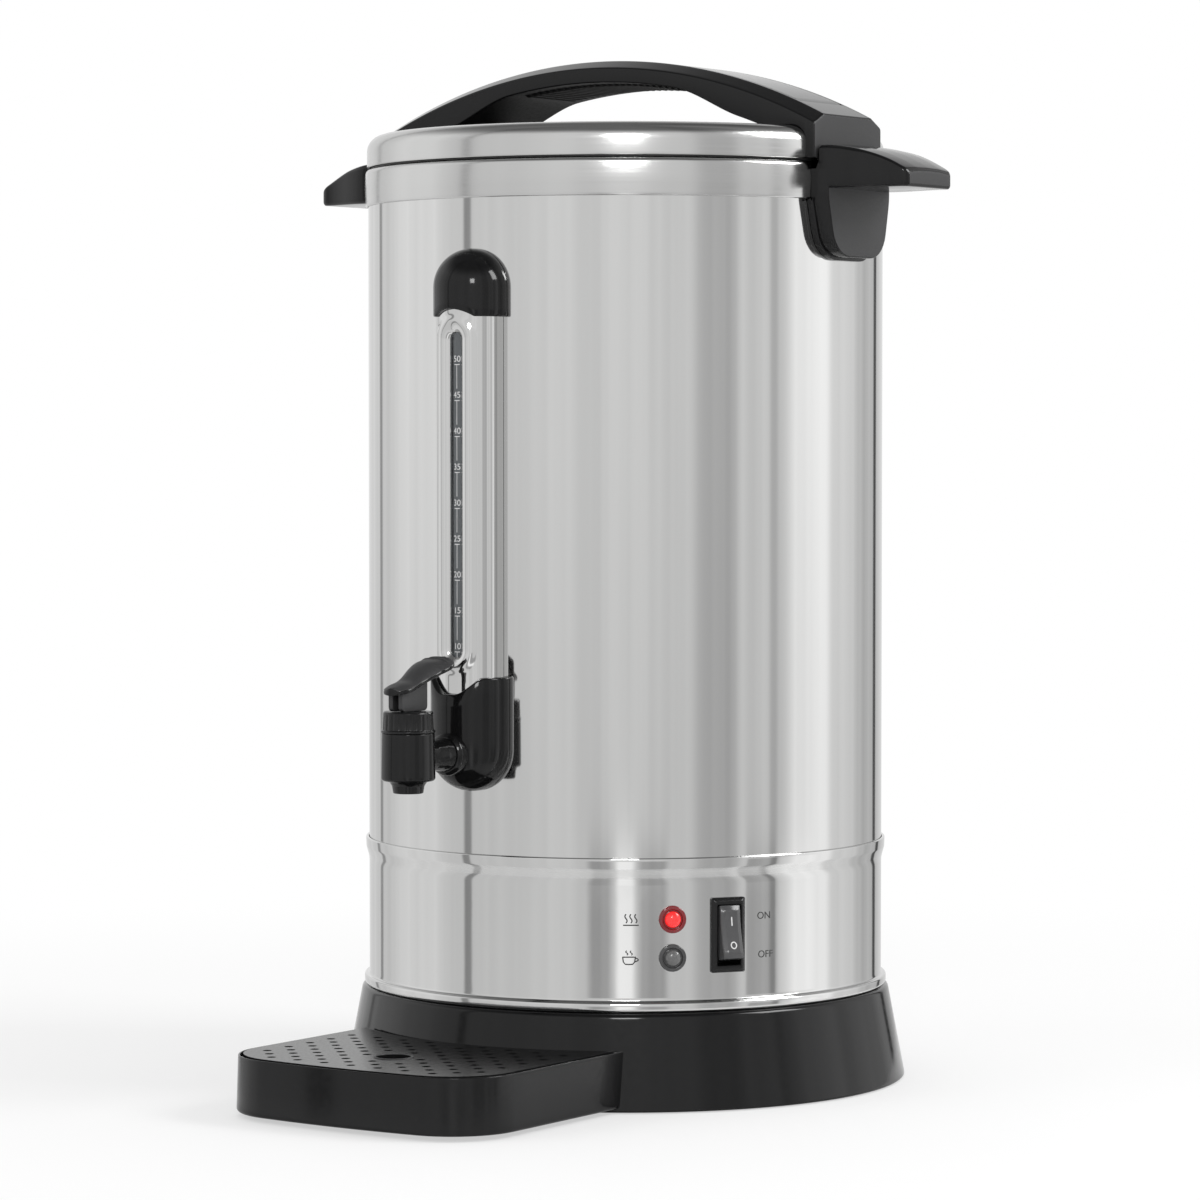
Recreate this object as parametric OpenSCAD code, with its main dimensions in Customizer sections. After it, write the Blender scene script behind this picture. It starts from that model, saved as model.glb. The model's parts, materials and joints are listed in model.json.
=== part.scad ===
// Hot water urn with a gauge tube, a lever tap, a lift-off lid and a pull-out drip tray.
// Sizes are in millimetres. The urn's axis is Z, the table is z = 0 and the tap faces -Y.

/* [Body] */
// Outside diameter of the tank and the casing
body_d = 220; // [200:1:240]
// Sheet thickness of the tank, casing and lid
sheet = 1; // [0.8:0.1:1.2]
// Height of the casing between the skirt and the tank
casing_h = 63; // [56:1:80]
// Height of the tank shell from its seat to its rim
tank_h = 287; // [275:1:330]
// How deep the tank sits in the casing's flared rim
seat_depth = 4; // [3:0.5:6]
// How far the flared rim stands out of the body
rim_proud = 1.3; // [1.2:0.1:2]
// Radius of the rolled bead at the casing's foot
bead_r = 2.1; // [1.6:0.1:2.6]
// Height of the rim collar
collar_h = 15.7; // [12:0.1:18]
// How far the collar stands out of the body
collar_proud = 1.3; // [1.1:0.1:2]
// Width of the collar's inward flange
collar_flange = 3.4; // [2.5:0.1:5]
// Height of the tank floor above the tank's lower edge
floor_rise = 13; // [12:0.5:20]

/* [Base] */
// How far the skirt's foot stands out of the body
skirt_foot_proud = 10.3; // [7:0.1:14]
// How far the skirt's top stands out of the body
skirt_top_proud = 2.8; // [2.6:0.1:4]
// Height of the skirt's top above the table
skirt_h = 40; // [36:1:50]
// Gap between the skirt and the table
skirt_lift = 0.5; // [0.5:0.5:2]
// Wall of the skirt
skirt_wall = 2.5; // [2:0.1:3]
// Inner radius of the skirt's top flange, measured in from the body
skirt_flange = 6; // [5:0.5:9]
// Thickness of the base plate
plate_t = 1.2; // [1:0.1:2]
// Height of the feet, which is the plate's height above the table
foot_h = 4; // [3:0.5:6]
// Radius of a rubber foot at the table
foot_r = 9; // [7:0.5:12]
// Distance of the feet inside the body radius
foot_inset = 22; // [18:1:40]
// Distance of the base screws inside the body radius
screw_inset = 4; // [3.5:0.5:6]
// Radius of a base screw's thread
screw_r = 1.7; // [1.5:0.1:2.2]
// Length of a base screw's thread above the plate's underside
screw_len = 13; // [11:1:16]
// Height of the cord gland above the table
gland_z = 20; // [17:1:24]
// Bore of the cord gland
gland_bore_r = 3.75; // [3:0.05:4.5]

/* [Lid] */
// How far the lid stands out of the body
lid_proud = 0.5; // [0.3:0.1:1]
// Height of the lid's cover
lid_h = 13.8; // [12:0.1:18]
// Radius of the lid's rounded shoulder
lid_round = 7; // [5:0.5:9]
// Gap between the collar and the lid's edge
lid_gap = 0.7; // [0.5:0.1:1.2]
// Outside radius of the inner pan, measured in from the body
pan_inset = 10; // [8:0.5:14]
// Depth of the inner pan below its flange
pan_depth = 11.4; // [8:0.2:13]
// Thickness of the lid seal
seal_t = 1.5; // [1:0.1:2]

/* [Handles] */
// Height of the lid handle above the lid
arch_h = 31; // [26:0.5:38]
// Height of the arch's ends above the lid
arch_end_h = 4.6; // [2.5:0.1:5]
// Width of the lid handle
arch_w = 53; // [44:1:58]
// Thickness of the arch
arch_t = 9.5; // [8:0.5:12]
// Radius of the arch's underside
arch_under_r = 165; // [150:5:200]
// How far the arch's ends stand out of the lid
arch_over = 1; // [0.5:0.1:1.5]
// Width of the bevel along the arch
bevel_w = 7.5; // [5:0.5:9]
// Height of the bevel along the arch
bevel_h = 3.4; // [2:0.2:4]
// Width of the inset panel on the arch
panel_w = 34; // [26:1:36]
// Thickness of the inset panel
panel_t = 1.4; // [1:0.1:2]
// How far the panel stops short of the arch's ends
panel_short = 13; // [11:1:20]
// Number of grip ribs under the arch
rib_count = 25; // [15:2:31]
// Reach of a side handle from the body
grip_reach = 41; // [32:1:46]
// Width of a side handle at the body
grip_w = 49; // [44:1:56]
// Width of a side handle at its tip
grip_tip_w = 38; // [30:1:42]
// Height of a side handle's top above the collar
grip_rise = 7; // [5:0.5:9]
// Drop of a side handle's top from the body to the tip
grip_drop = 10.5; // [8:0.5:13]
// Depth of a side handle's grip
grip_t = 18.5; // [15:0.5:22]
// Length of the tongue below the grip
tongue_h = 28; // [24:1:34]
// How far the tongue stands out of the body
tongue_proud = 8; // [7:0.5:10]
// Width of the tongue's lower end
tongue_low_w = 30; // [26:1:40]

/* [Gauge] */
// Width of the gauge guard
guard_w = 28.4; // [27:0.2:32]
// How far the guard stands out of the body
guard_proud = 14.6; // [14.4:0.2:17]
// Radius of the guard's front corners
guard_round = 12; // [9:0.5:13]
// Sheet thickness of the guard
guard_sheet = 1.2; // [1:0.1:1.4]
// Gap from the top of the gauge's cap to the rim collar
cap_gap = 20.8; // [12:0.1:40]
// Height of the guard's lower end above the tap
guard_rise = 17; // [16:0.5:20]
// Width of the slot that shows the tube
slot_w = 6; // [5:0.5:7]
// Distance of the slot from the guard's lower end
slot_low = 22.3; // [20:0.1:26]
// Distance of the slot from the guard's upper end
slot_high = 14.2; // [12:0.1:20]
// Width of the raised rim round the slot
slot_rim_w = 4; // [3:0.2:5]
// Height of the raised rim round the slot
slot_rim_t = 0.8; // [0.5:0.1:1]
// Outside diameter of the gauge tube
tube_d = 9; // [8:0.2:9.6]
// Wall of the gauge tube
tube_wall = 1.2; // [1:0.1:1.6]
// Distance of the tube's axis from the body
tube_out = 7.4; // [7.2:0.1:7.8]
// Wall of the tube's seals
tube_seal = 1.8; // [1.4:0.1:2]
// How far the tube runs past the guard at each end
tube_past = 5.4; // [4.5:0.1:6]
// Cover of the top cap over the guard in front
cap_front = 2.6; // [2.4:0.1:4]
// Cover of the top cap over the guard at the sides
cap_side = 1.8; // [1.6:0.1:3]
// Height of the cap's straight part
cap_skirt_h = 12; // [11:0.5:15]
// Length of guard inside the cap
cap_lap = 8; // [6:0.5:9]
// Cover of the bottom pod over the guard in front
pod_front = 4.1; // [3.5:0.1:5.5]
// Cover of the bottom pod over the guard at the sides
pod_side = 2.8; // [2.4:0.1:4]
// Height of the pod's top above the tap
pod_rise = 30; // [27:0.5:34]
// Height of the centre of the pod's round bottom above the tap
pod_drop = 1; // [0:0.5:3]
// Radius of the scoop in the pod's front edge
scoop_r = 21; // [18:0.5:24]
// Radius of the hollow vent screw
vent_r = 3.5; // [3:0.1:4]

/* [Tap] */
// Height of the tap's shank above the tank's lower edge
tap_rise = 46; // [42:0.5:52]
// Distance of the tap's axis from the body
tap_reach = 45.3; // [45:0.1:52]
// Radius of the tap's body
tap_r = 11; // [10.6:0.1:12]
// Length of the tap's body below the shank's axis
tap_low = 9; // [8.5:0.5:12]
// Length of the tap's body above the shank's axis
tap_high = 10.3; // [10:0.1:13]
// Radius of the valve chamber
chamber_r = 8; // [7.8:0.1:8.4]
// Length of the nozzle
nozzle_len = 5; // [4:0.5:9]
// Radius of the nozzle at its mouth
nozzle_r = 6.1; // [5.6:0.1:7]
// Radius of the outlet
outlet_r = 4.5; // [3.5:0.1:5]
// Radius of the shank
shank_r = 5.5; // [5.2:0.1:6]
// Radius of the shank's bore
shank_bore_r = 3.4; // [2.5:0.1:3.8]
// Length of shank inside the tank
shank_inside = 12; // [10.5:0.5:16]
// Length of the boss that carries the shank on the pod
boss_len = 2.8; // [2:0.2:4]
// Radius of the boss that carries the shank on the pod
boss_r = 8.2; // [7.6:0.1:9]
// Radius of the bonnet
bonnet_r = 10.4; // [10:0.1:10.6]
// Height of the bonnet
bonnet_h = 8.6; // [8:0.1:11]
// Number of ribs on the bonnet
bonnet_ribs = 28; // [20:2:32]
// Radius of the stem
stem_r = 3; // [2.8:0.1:3.2]
// Height of the lever's pin above the bonnet
pin_rise = 4.5; // [4.2:0.1:5.5]
// Radius of the lever's pin
pin_r = 1; // [0.8:0.05:1.2]
// Length of the lever's cam block
cam_len = 16.8; // [15:0.2:18]
// Thickness of the lever's cam block
cam_t = 7; // [6.4:0.2:8]
// Corner radius of the cam block
cam_round = 2; // [1.5:0.1:2.5]
// Length of the lever behind the pin
lever_back = 25.5; // [22:0.5:25.5]
// Length of the lever in front of the pin
lever_front = 12; // [10:0.5:14]
// Radius of the lever's thumb end
thumb_r = 9.5; // [8:0.5:11]
// Radius of the lever's waist
waist_r = 6; // [5:0.5:7]
// Radius of the lever's nose
nose_r = 6.5; // [5.5:0.5:8]
// Slope of the lever
lever_slope = 17.5; // [14:0.5:18]
// Thickness of the lever
lever_t = 3; // [2.5:0.1:4]
// Crown of the lever's top over that thickness
lever_crown = 1.5; // [0.5:0.1:2.5]
// Height of the lever's nose over its pin
lever_low = 1; // [0.6:0.1:2]
// Gap between the lever's cam and the bonnet at rest
cam_gap = 0.15; // [0.1:0.01:0.2]

/* [Controls] */
// Azimuth of the lamps, from the tap towards +X
lamp_az = 44.2; // [38:0.1:45]
// Height of the upper lamp above the casing's foot
lamp_high = 38; // [36:0.1:42]
// Height of the lower lamp above the casing's foot
lamp_low = 22.3; // [18:0.1:24]
// Radius of a lamp's flange
lamp_r = 5.65; // [5.5:0.05:6.4]
// Radius of a lamp's lens
lens_r = 3.8; // [3:0.1:4.6]
// Azimuth of the switch, from the tap towards +X
switch_az = 56.5; // [55.5:0.1:64]
// Height of the switch above the casing's foot
switch_rise = 31; // [28:0.5:34]
// Width of the switch's bezel
bezel_w = 15; // [14.6:0.1:18]
// Height of the switch's bezel
bezel_h = 30.7; // [30:0.1:34]
// Thickness of the bezel
bezel_t = 2; // [1.5:0.1:3]
// Depth of the switch's body behind the bezel
switch_depth = 22; // [18:1:30]
// Width of the rocker
rocker_w = 9.8; // [9:0.1:10.2]
// Height of the rocker
rocker_h = 21.6; // [20:0.1:22.2]
// Tilt of the rocker to each side of level
rocker_tilt = 12; // [9:0.5:12]

/* [Drip tray] */
// Width of the tray
tray_w = 132; // [120:1:150]
// Reach of the tray's front from the body
tray_reach = 95; // [88:1:125]
// Radius of the tray's bulging front
tray_bulge_r = 400; // [220:10:600]
// Radius of the tray's front corners
tray_corner_r = 30; // [24:1:36]
// Height of the tray's floor above the table
tray_z = 2.2; // [2:0.1:4]
// Height of the tray's wall
tray_h = 23; // [20:0.5:26]
// Wall of the tray
tray_wall = 2.4; // [2:0.1:3]
// Thickness of the tray's floor
tray_floor = 2; // [1.6:0.1:3]
// Gap between the tray and the skirt
tray_gap = 1; // [0.8:0.1:2]
// Width of the tongue that enters the skirt
tray_tongue_w = 88; // [70:1:96]
// Length of the tongue inside the skirt
tray_tongue_len = 20; // [16:1:26]
// Thickness of the tongue
tray_tongue_t = 3; // [2.5:0.1:4]
// Thickness of the grate
grate_t = 2.4; // [2:0.1:3]
// How far the grate stands above the tray's rim
grate_proud = 0.4; // [0.2:0.1:1]
// Radius of a drain hole
drain_r = 1.8; // [1.5:0.1:2.4]
// Spacing of the drain holes across the grate
drain_x = 13.4; // [10:0.1:18]
// Spacing of the drain holes along the grate
drain_y = 14; // [10:0.1:18]
// Radius of the finger hole under the nozzle
finger_r = 7; // [6:0.5:9]

/* [Fits] */
// Gap between a fitting and the shell that carries it
seat_gap = 0.2; // [0.15:0.05:0.3]
// Radial gap of a fixed fit
fit = 0.1; // [0.05:0.05:0.15]
// Radial gap of a running fit
run_fit = 0.06; // [0.03:0.01:0.1]
// Gap between pieces that move past each other
clear = 0.4; // [0.3:0.05:0.5]

/* [Hidden] */
$fn = 64;

body_r = body_d / 2;
// Heights of the stack, from the table up
plate_z = foot_h;
plate_top = foot_h + plate_t;
casing_top = skirt_h + casing_h;
tank_z = casing_top - seat_depth;
rim_z = tank_z + tank_h;
collar_t = 1.4;
collar_top = rim_z + fit + collar_t;
lid_z = collar_top + lid_gap;
lid_top = lid_z + lid_h;
floor_z = tank_z + floor_rise;
tap_z = tank_z + tap_rise;
// The gauge runs from the tap up to its cap, which keeps its gap below the collar
cap_r = guard_w / 2 + cap_side;
guard_z = tap_z + guard_rise;
guard_top = collar_top - collar_h - cap_gap - cap_skirt_h - cap_r + cap_lap;
guard_len = guard_top - guard_z;
// Round places
tap_y = -(body_r + tap_reach);
tube_y = -(body_r + tube_out);
lid_r = body_r + lid_proud;
skirt_foot_r = body_r + skirt_foot_proud;
skirt_top_r = body_r + skirt_top_proud;
post_at = body_r - screw_inset;
foot_at = body_r - foot_inset;
corners = [45, 135, 225, 315];

// Points of an arc from angle a to angle b
function arc(x, y, r, a, b, n = 8) =
    [for (i = [0:n]) [x + r * cos(a + (b - a) * i / n), y + r * sin(a + (b - a) * i / n)]];
// The same outline seen in a mirror on its second axis, in reverse order
function mirrored(points) = [for (i = [len(points) - 1:-1:0]) [-points[i][0], points[i][1]]];
function both_sides(points) = concat(points, mirrored(points));

module ring(points) { rotate_extrude($fn = 128) polygon(points); }

// A rod along the radius at one azimuth and height, between two distances from the axis
module radial_rod(az, z, r, from_r, to_r) {
    rotate([0, 0, az]) translate([0, -from_r, z]) rotate([90, 0, 0]) cylinder(h = to_r - from_r, r = r);
}

// A smooth path through the given points, with steps to each stretch
function smooth(points, steps = 4) =
    let (last = len(points) - 1)
    concat([for (i = [0:last - 1], k = [0:steps - 1])
        let (t = k / steps, a = points[max(i - 1, 0)], b = points[i], c = points[i + 1],
            d = points[min(i + 2, last)])
        b + (c - a) * t / 2 + (2 * a - 5 * b + 4 * c - d) * pow(t, 2) / 2
            + (3 * b - a - 3 * c + d) * pow(t, 3) / 2],
        [points[last]]);

// An insulated wire along a smooth path, as one tube
module wire(points, r) {
    sides = 8;
    path = smooth(points);
    last = len(path) - 1;
    aside = [0.6, 0.75, 0.1];
    rings = [for (i = [0:last])
        let (along = path[min(i + 1, last)] - path[max(i - 1, 0)], u = cross(along, aside),
            v = cross(along, u))
        for (k = [0:sides - 1])
            path[i] + r * (cos(k * 360 / sides) * u / norm(u) + sin(k * 360 / sides) * v / norm(v))];
    walls = [for (i = [0:last - 1], k = [0:sides - 1])
        let (a = i * sides + k, b = i * sides + (k + 1) % sides)
        each [[a, a + sides, b], [b, a + sides, b + sides]]];
    end = last * sides;
    caps = [for (k = [1:sides - 2]) each [[0, k, k + 1], [end, end + k + 1, end + k]]];
    polyhedron(points = rings, faces = concat(walls, caps));
}

// The body's cylinder, grown by a gap, which cuts the back of each fitting
module body_space(gap) {
    translate([0, 0, tank_z]) cylinder(h = tank_h, r = body_r + gap, $fn = 128);
}

// The outside of the skirt, grown by a gap
module skirt_cone(gap) {
    translate([0, 0, skirt_lift])
        cylinder(h = skirt_h - skirt_lift, r1 = skirt_foot_r + gap, r2 = skirt_top_r + gap, $fn = 128);
}

// Base
gland_face = skirt_foot_r - 1;
gland_neck_r = gland_bore_r + 2.2;
gland_flange_t = 3;
gland_nut_t = 3;
gland_boss_r = 10;
pad_in = gland_face - 8;
slot_top = plate_top + tray_tongue_t + 2 * clear;
foot_stem_r = 3;
stud_r = 3;

module base_skirt() {
    slope = (skirt_foot_proud - skirt_top_proud) / (skirt_h - skirt_lift);
    flange_z = skirt_h - skirt_wall;
    flange_wall_r = skirt_top_r + slope * skirt_wall - skirt_wall;
    color("#161616") difference() {
        union() {
            ring([[skirt_foot_r - skirt_wall, skirt_lift], [skirt_foot_r, skirt_lift],
                [skirt_top_r, skirt_h], [body_r - skirt_flange, skirt_h],
                [body_r - skirt_flange, flange_z], [flange_wall_r, flange_z]]);
            for (a = corners)
                rotate([0, 0, a]) translate([0, -post_at, plate_top])
                    cylinder(h = skirt_h - plate_top - skirt_wall / 2, r = screw_r + 2.8);
            radial_rod(180, gland_z, gland_boss_r, pad_in, gland_face);
        }
        for (a = corners)
            rotate([0, 0, a]) translate([0, -post_at, plate_top - 1])
                cylinder(h = screw_len + 3, r = screw_r + run_fit);
        radial_rod(180, gland_z, gland_neck_r + fit, pad_in - 1, gland_face + 1);
        translate([-tray_tongue_w / 2 - clear, -skirt_foot_r - 1, plate_top])
            cube([tray_tongue_w + 2 * clear, skirt_foot_proud + skirt_wall + 12, slot_top - plate_top]);
    }
}

module base_plate() {
    hole_r = 2.5;
    hole_at = 40;
    color("#9a9c9e") translate([0, 0, plate_z]) difference() {
        cylinder(h = plate_t, r = body_r + 4.3, $fn = 128);
        for (a = corners) rotate([0, 0, a]) {
            translate([0, -foot_at, -1]) cylinder(h = plate_t + 2, r = foot_stem_r + fit);
            translate([0, -post_at, -1]) cylinder(h = plate_t + 2, r = screw_r + 0.4);
        }
        for (a = [0:30:330])
            rotate([0, 0, a]) translate([0, -hole_at, -1]) cylinder(h = plate_t + 2, r = hole_r);
        translate([0, 0, -1]) cylinder(h = plate_t + 2, r = stud_r + fit);
    }
}

module rubber_feet() {
    color("#222222") for (a = corners) rotate([0, 0, a]) translate([0, -foot_at, 0]) {
        cylinder(h = foot_h, r1 = foot_r, r2 = foot_r + 1);
        cylinder(h = plate_top + 1, r = foot_stem_r);
        translate([0, 0, plate_top]) cylinder(h = 1.5, r = foot_stem_r + 1.5);
    }
}

module base_screws() {
    color("#b0b2b4") for (a = corners) rotate([0, 0, a]) translate([0, -post_at, 0]) {
        translate([0, 0, plate_z - 2]) cylinder(h = 2, r = screw_r * 2.1);
        translate([0, 0, plate_z - 1]) cylinder(h = screw_len + 1, r = screw_r);
    }
}

module cord_gland() {
    color("#1c1c1c") difference() {
        union() {
            radial_rod(180, gland_z, gland_neck_r + 2.8, gland_face, gland_face + gland_flange_t);
            radial_rod(180, gland_z, gland_neck_r, pad_in - gland_nut_t - 2, gland_face + 1);
        }
        radial_rod(180, gland_z, gland_bore_r, pad_in - gland_nut_t - 3, gland_face + gland_flange_t + 1);
    }
}

module gland_nut() {
    color("#262626") rotate([0, 0, 180]) translate([0, -(pad_in - gland_nut_t), gland_z]) rotate([90, 0, 0])
        difference() {
            cylinder(h = gland_nut_t, r = gland_neck_r + 3.4, $fn = 6);
            translate([0, 0, -1]) cylinder(h = gland_nut_t + 2, r = gland_neck_r + run_fit);
        }
}

// Casing and tank
cut_w = 12.8;
cut_h = 28.2;
rim_in = body_r + seat_gap;
tap_hole_r = shank_r + 0.3;
vent_z = guard_top + 10;
lug_z = collar_top - grip_t + grip_rise - tongue_h / 2;
lug_y = 10;
lug_r = 2;

module lower_casing() {
    flare_z = tank_z - 5;
    bead_z = skirt_h + bead_r;
    color("#c9cbcd") difference() {
        union() {
            ring(concat([[body_r - sheet, skirt_h], [body_r, skirt_h], [body_r, flare_z]],
                [for (i = [1:6]) [body_r + rim_proud * (1 - cos(i * 15)), flare_z + 5.5 * sin(i * 15)]],
                [[body_r + rim_proud, casing_top - 0.5], [body_r + rim_proud - 0.4, casing_top],
                [rim_in, casing_top], [rim_in, tank_z], [body_r - sheet, tank_z]]));
            rotate_extrude($fn = 128) translate([body_r, bead_z]) circle(r = bead_r, $fn = 32);
        }
        translate([0, 0, skirt_h - 1]) cylinder(h = 2 * bead_r + 3, r = body_r - sheet, $fn = 128);
        for (z = [lamp_low, lamp_high])
            radial_rod(lamp_az, skirt_h + z, lens_r + 1.3, body_r - 10, body_r + 10);
        rotate([0, 0, switch_az])
            translate([-cut_w / 2, -body_r - 10, skirt_h + switch_rise - cut_h / 2])
                cube([cut_w, 20, cut_h]);
    }
}

module tank_shell() {
    color("#d5d7d9") difference() {
        ring([[body_r - sheet, tank_z], [body_r, tank_z], [body_r, rim_z], [body_r - sheet, rim_z]]);
        radial_rod(0, tap_z, tap_hole_r, body_r - 10, body_r + 5);
        radial_rod(0, vent_z, vent_r + 0.2, body_r - 10, body_r + 5);
        for (s = [-1, 1], y = [-lug_y, lug_y])
            translate([s * body_r - 5, y, lug_z]) rotate([0, 90, 0]) cylinder(h = 10, r = lug_r + 0.2);
    }
}

module tank_floor() {
    edge_r = body_r - sheet - fit / 2;
    color("#b9bbbd") ring([[0, floor_z - sheet], [edge_r - sheet, floor_z - sheet],
        [edge_r - sheet, tank_z + 2], [edge_r, tank_z + 2], [edge_r, floor_z], [0, floor_z]]);
}

// Heating and wiring
heater_r = 70;
heater_t = 7;
heater_z = floor_z - sheet - heater_t;
element_r = 50;
coil_r = 4;
element_leg = 14;
sensor_at = 24;

module heating_plate() {
    color("#a8aaac") translate([0, 0, heater_z]) cylinder(h = heater_t, r = heater_r, $fn = 96);
}

module heating_element() {
    color("#8c8f92") translate([0, 0, heater_z - coil_r]) {
        rotate([0, 0, 20]) rotate_extrude(angle = 320, $fn = 96)
            translate([element_r, 0]) circle(r = coil_r, $fn = 32);
        for (a = [20, 340]) rotate([0, 0, a]) translate([element_r, 0, -element_leg])
            cylinder(h = element_leg, r = 2.4);
    }
}

// A disc thermostat with two tabs, held flat under the heating plate
module sensor(az, r, h) {
    rotate([0, 0, az]) translate([0, -sensor_at, heater_z]) {
        translate([0, 0, -1.2]) cylinder(h = 1.2, r = r + 2);
        translate([0, 0, -h]) cylinder(h = h, r = r);
        for (x = [-4, 4]) translate([x - 0.4, -3, -h - 7]) cube([0.8, 6, 8]);
    }
}

module boil_dry_cutout() { color("#6a4a30") sensor(200, 9, 9); }

module keep_warm_thermostat() { color("#33383c") sensor(20, 8, 11); }

module centre_stud() {
    color("#aeb0b2") translate([0, 0, skirt_lift + 0.5])
        cylinder(h = heater_z - skirt_lift - 0.5, r = stud_r);
}

module centre_nut() {
    color("#c2c4c6") translate([0, 0, skirt_lift + 0.4]) difference() {
        cylinder(h = plate_z - skirt_lift - 0.4, r = 5.8, $fn = 6);
        translate([0, 0, -1]) cylinder(h = plate_z + 1, r = stud_r + run_fit);
    }
}

block_y = 55;
block_h = 13;
block_x = [-12, 0, 12];

module terminal_block() {
    color("#e4e2da") translate([0, block_y, plate_top]) difference() {
        translate([-19, -9, 0]) cube([38, 18, block_h]);
        for (x = block_x) translate([x, 0, 4]) cylinder(h = block_h, r = 3);
    }
}

module wire_loom() {
    wire_r = 1.3;
    start_z = plate_top + 4.2;
    // Each wire leaves its terminal straight up to the height h
    function riser(x, h) = [for (z = [start_z, plate_top + block_h + 3, h]) [x, block_y, z]];
    end_z = heater_z - coil_r - element_leg - 0.2;
    end_x = element_r * cos(20);
    end_y = element_r * sin(20);
    lamp_tail = body_r - 15.6;
    switch_tail = bezel_face - switch_depth - 9.8;
    color("#a33b2a") {
        wire(concat(riser(block_x[2], 34), [[end_x, end_y, 50], [end_x, end_y, end_z]]), wire_r);
        wire(concat(riser(block_x[0], 30), [[24, 20, 42],
            [switch_tail * sin(switch_az) * 0.9, -switch_tail * cos(switch_az) * 0.9, 52],
            [switch_tail * sin(switch_az), -switch_tail * cos(switch_az), switch_z - 7]]), wire_r);
        wire(concat(riser(block_x[1], 30), [[14, 14, 35],
            [lamp_tail * sin(lamp_az) * 0.8, -lamp_tail * cos(lamp_az) * 0.8, 44],
            [lamp_tail * sin(lamp_az), -lamp_tail * cos(lamp_az), skirt_h + lamp_low]]), wire_r);
    }
}

// Rim and lid
module rim_collar() {
    out_r = body_r + collar_proud;
    flange_r = body_r - collar_flange;
    low_z = collar_top - collar_h;
    soft = 1;
    color("#cfd1d3") ring(concat([[body_r + fit, low_z], [out_r - soft, low_z]],
        arc(out_r - soft, low_z + soft, soft, -90, 0, 4),
        arc(out_r - soft, collar_top - soft, soft, 0, 90, 4),
        [[flange_r, collar_top], [flange_r, rim_z + fit], [body_r + fit, rim_z + fit]]));
}

// Outline of the lid's cover, grown by a gap
function lid_outline(gap) = concat([[lid_r + gap, lid_z]],
    arc(lid_r - lid_round, lid_top - lid_round, lid_round + gap, 0, 90, 10), [[0, lid_top + gap]]);

arch_half = lid_r + arch_over;
arch_rise = arch_h - arch_end_h;
arch_r = (arch_half * arch_half + arch_rise * arch_rise) / (2 * arch_rise);
arch_z = lid_top + arch_h - arch_r;
under_z = lid_top + arch_h - arch_t - arch_under_r;
arch_screw_x = arch_half - 14.5;
arch_screw_y = 13;

module lid_cover() {
    color("#d0d2d4") difference() {
        ring(concat(lid_outline(0), [[0, lid_top - sheet]],
            [for (i = [10:-1:0]) [lid_r - lid_round + (lid_round - sheet) * cos(i * 9),
                lid_top - lid_round + (lid_round - sheet) * sin(i * 9)]], [[lid_r - sheet, lid_z]]));
        for (x = [-arch_screw_x, arch_screw_x], y = [-arch_screw_y, arch_screw_y])
            translate([x, y, lid_top - 5]) cylinder(h = 10, r = lug_r + 0.2);
    }
}

pan_flange_z = collar_top + 2 * seat_gap + seal_t;

module lid_pan() {
    r = body_r - pan_inset;
    edge_r = lid_r - sheet - fit;
    low = pan_flange_z - pan_depth;
    color("#bfc1c3") ring([[0, low], [r, low], [r, pan_flange_z], [edge_r, pan_flange_z],
        [edge_r, pan_flange_z + sheet], [r - sheet, pan_flange_z + sheet],
        [r - sheet, low + sheet], [0, low + sheet]]);
}

module lid_seal() {
    color("#d9d6cc") translate([0, 0, collar_top + seat_gap]) difference() {
        cylinder(h = seal_t, r = lid_r - sheet - 2 * clear, $fn = 128);
        translate([0, 0, -1]) cylinder(h = seal_t + 2, r = body_r - pan_inset + clear, $fn = 128);
    }
}

// A full ring about a cross axis, which is the arch's own unless another height is given
module arch_ring(points, z = arch_z) {
    translate([0, 0, z]) rotate([90, 0, 0]) rotate_extrude($fn = 256) polygon(points);
}

module arch_box(half_x, w, z, h) { translate([-half_x, -w / 2, z]) cube([2 * half_x, w, h]); }

module panel_shape(gap) {
    half = panel_w / 2 + gap;
    low_r = arch_r - panel_t - gap;
    intersection() {
        arch_ring([[low_r, -half], [arch_r + 1, -half], [arch_r + 1, half], [low_r, half]]);
        arch_box(arch_half - panel_short + gap, arch_w, lid_top, arch_h + 2);
    }
}

module lid_handle() {
    w = arch_w / 2;
    low_z = lid_z + clear / 2;
    rib_turn = 3.2 / arch_under_r * 180 / PI;
    color("#141414") difference() {
        union() {
            difference() {
                intersection() {
                    arch_ring([[0, -w], [arch_r - bevel_h, -w], [arch_r, -w + bevel_w],
                        [arch_r, w - bevel_w], [arch_r - bevel_h, w], [0, w]]);
                    arch_box(arch_half, arch_w, low_z, lid_top + arch_h + 1 - low_z);
                }
                arch_ring([[0, -w - 1], [arch_under_r, -w - 1], [arch_under_r, w + 1], [0, w + 1]], under_z);
            }
            for (i = [0:rib_count - 1])
                translate([0, 0, under_z]) rotate([0, (i - (rib_count - 1) / 2) * rib_turn, 0])
                    translate([-0.6, -w + 8, arch_under_r - 0.9]) cube([1.2, arch_w - 16, 2]);
        }
        ring(concat([[0, lid_z - 5], [lid_r + fit, lid_z - 5]], lid_outline(fit)));
        panel_shape(fit);
        arch_ring([[arch_r, -w - 1], [arch_r + 30, -w - 1], [arch_r + 30, w + 1], [arch_r, w + 1]]);
        for (x = [-arch_screw_x, arch_screw_x], y = [-arch_screw_y, arch_screw_y])
            translate([x, y, lid_top - 1]) cylinder(h = 7, r = lug_r + run_fit);
    }
}

module lid_handle_panel() {
    color("#2b2b2b") difference() {
        panel_shape(0);
        arch_ring([[arch_r, -panel_w], [arch_r + 30, -panel_w], [arch_r + 30, panel_w], [arch_r, panel_w]]);
    }
}

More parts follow.
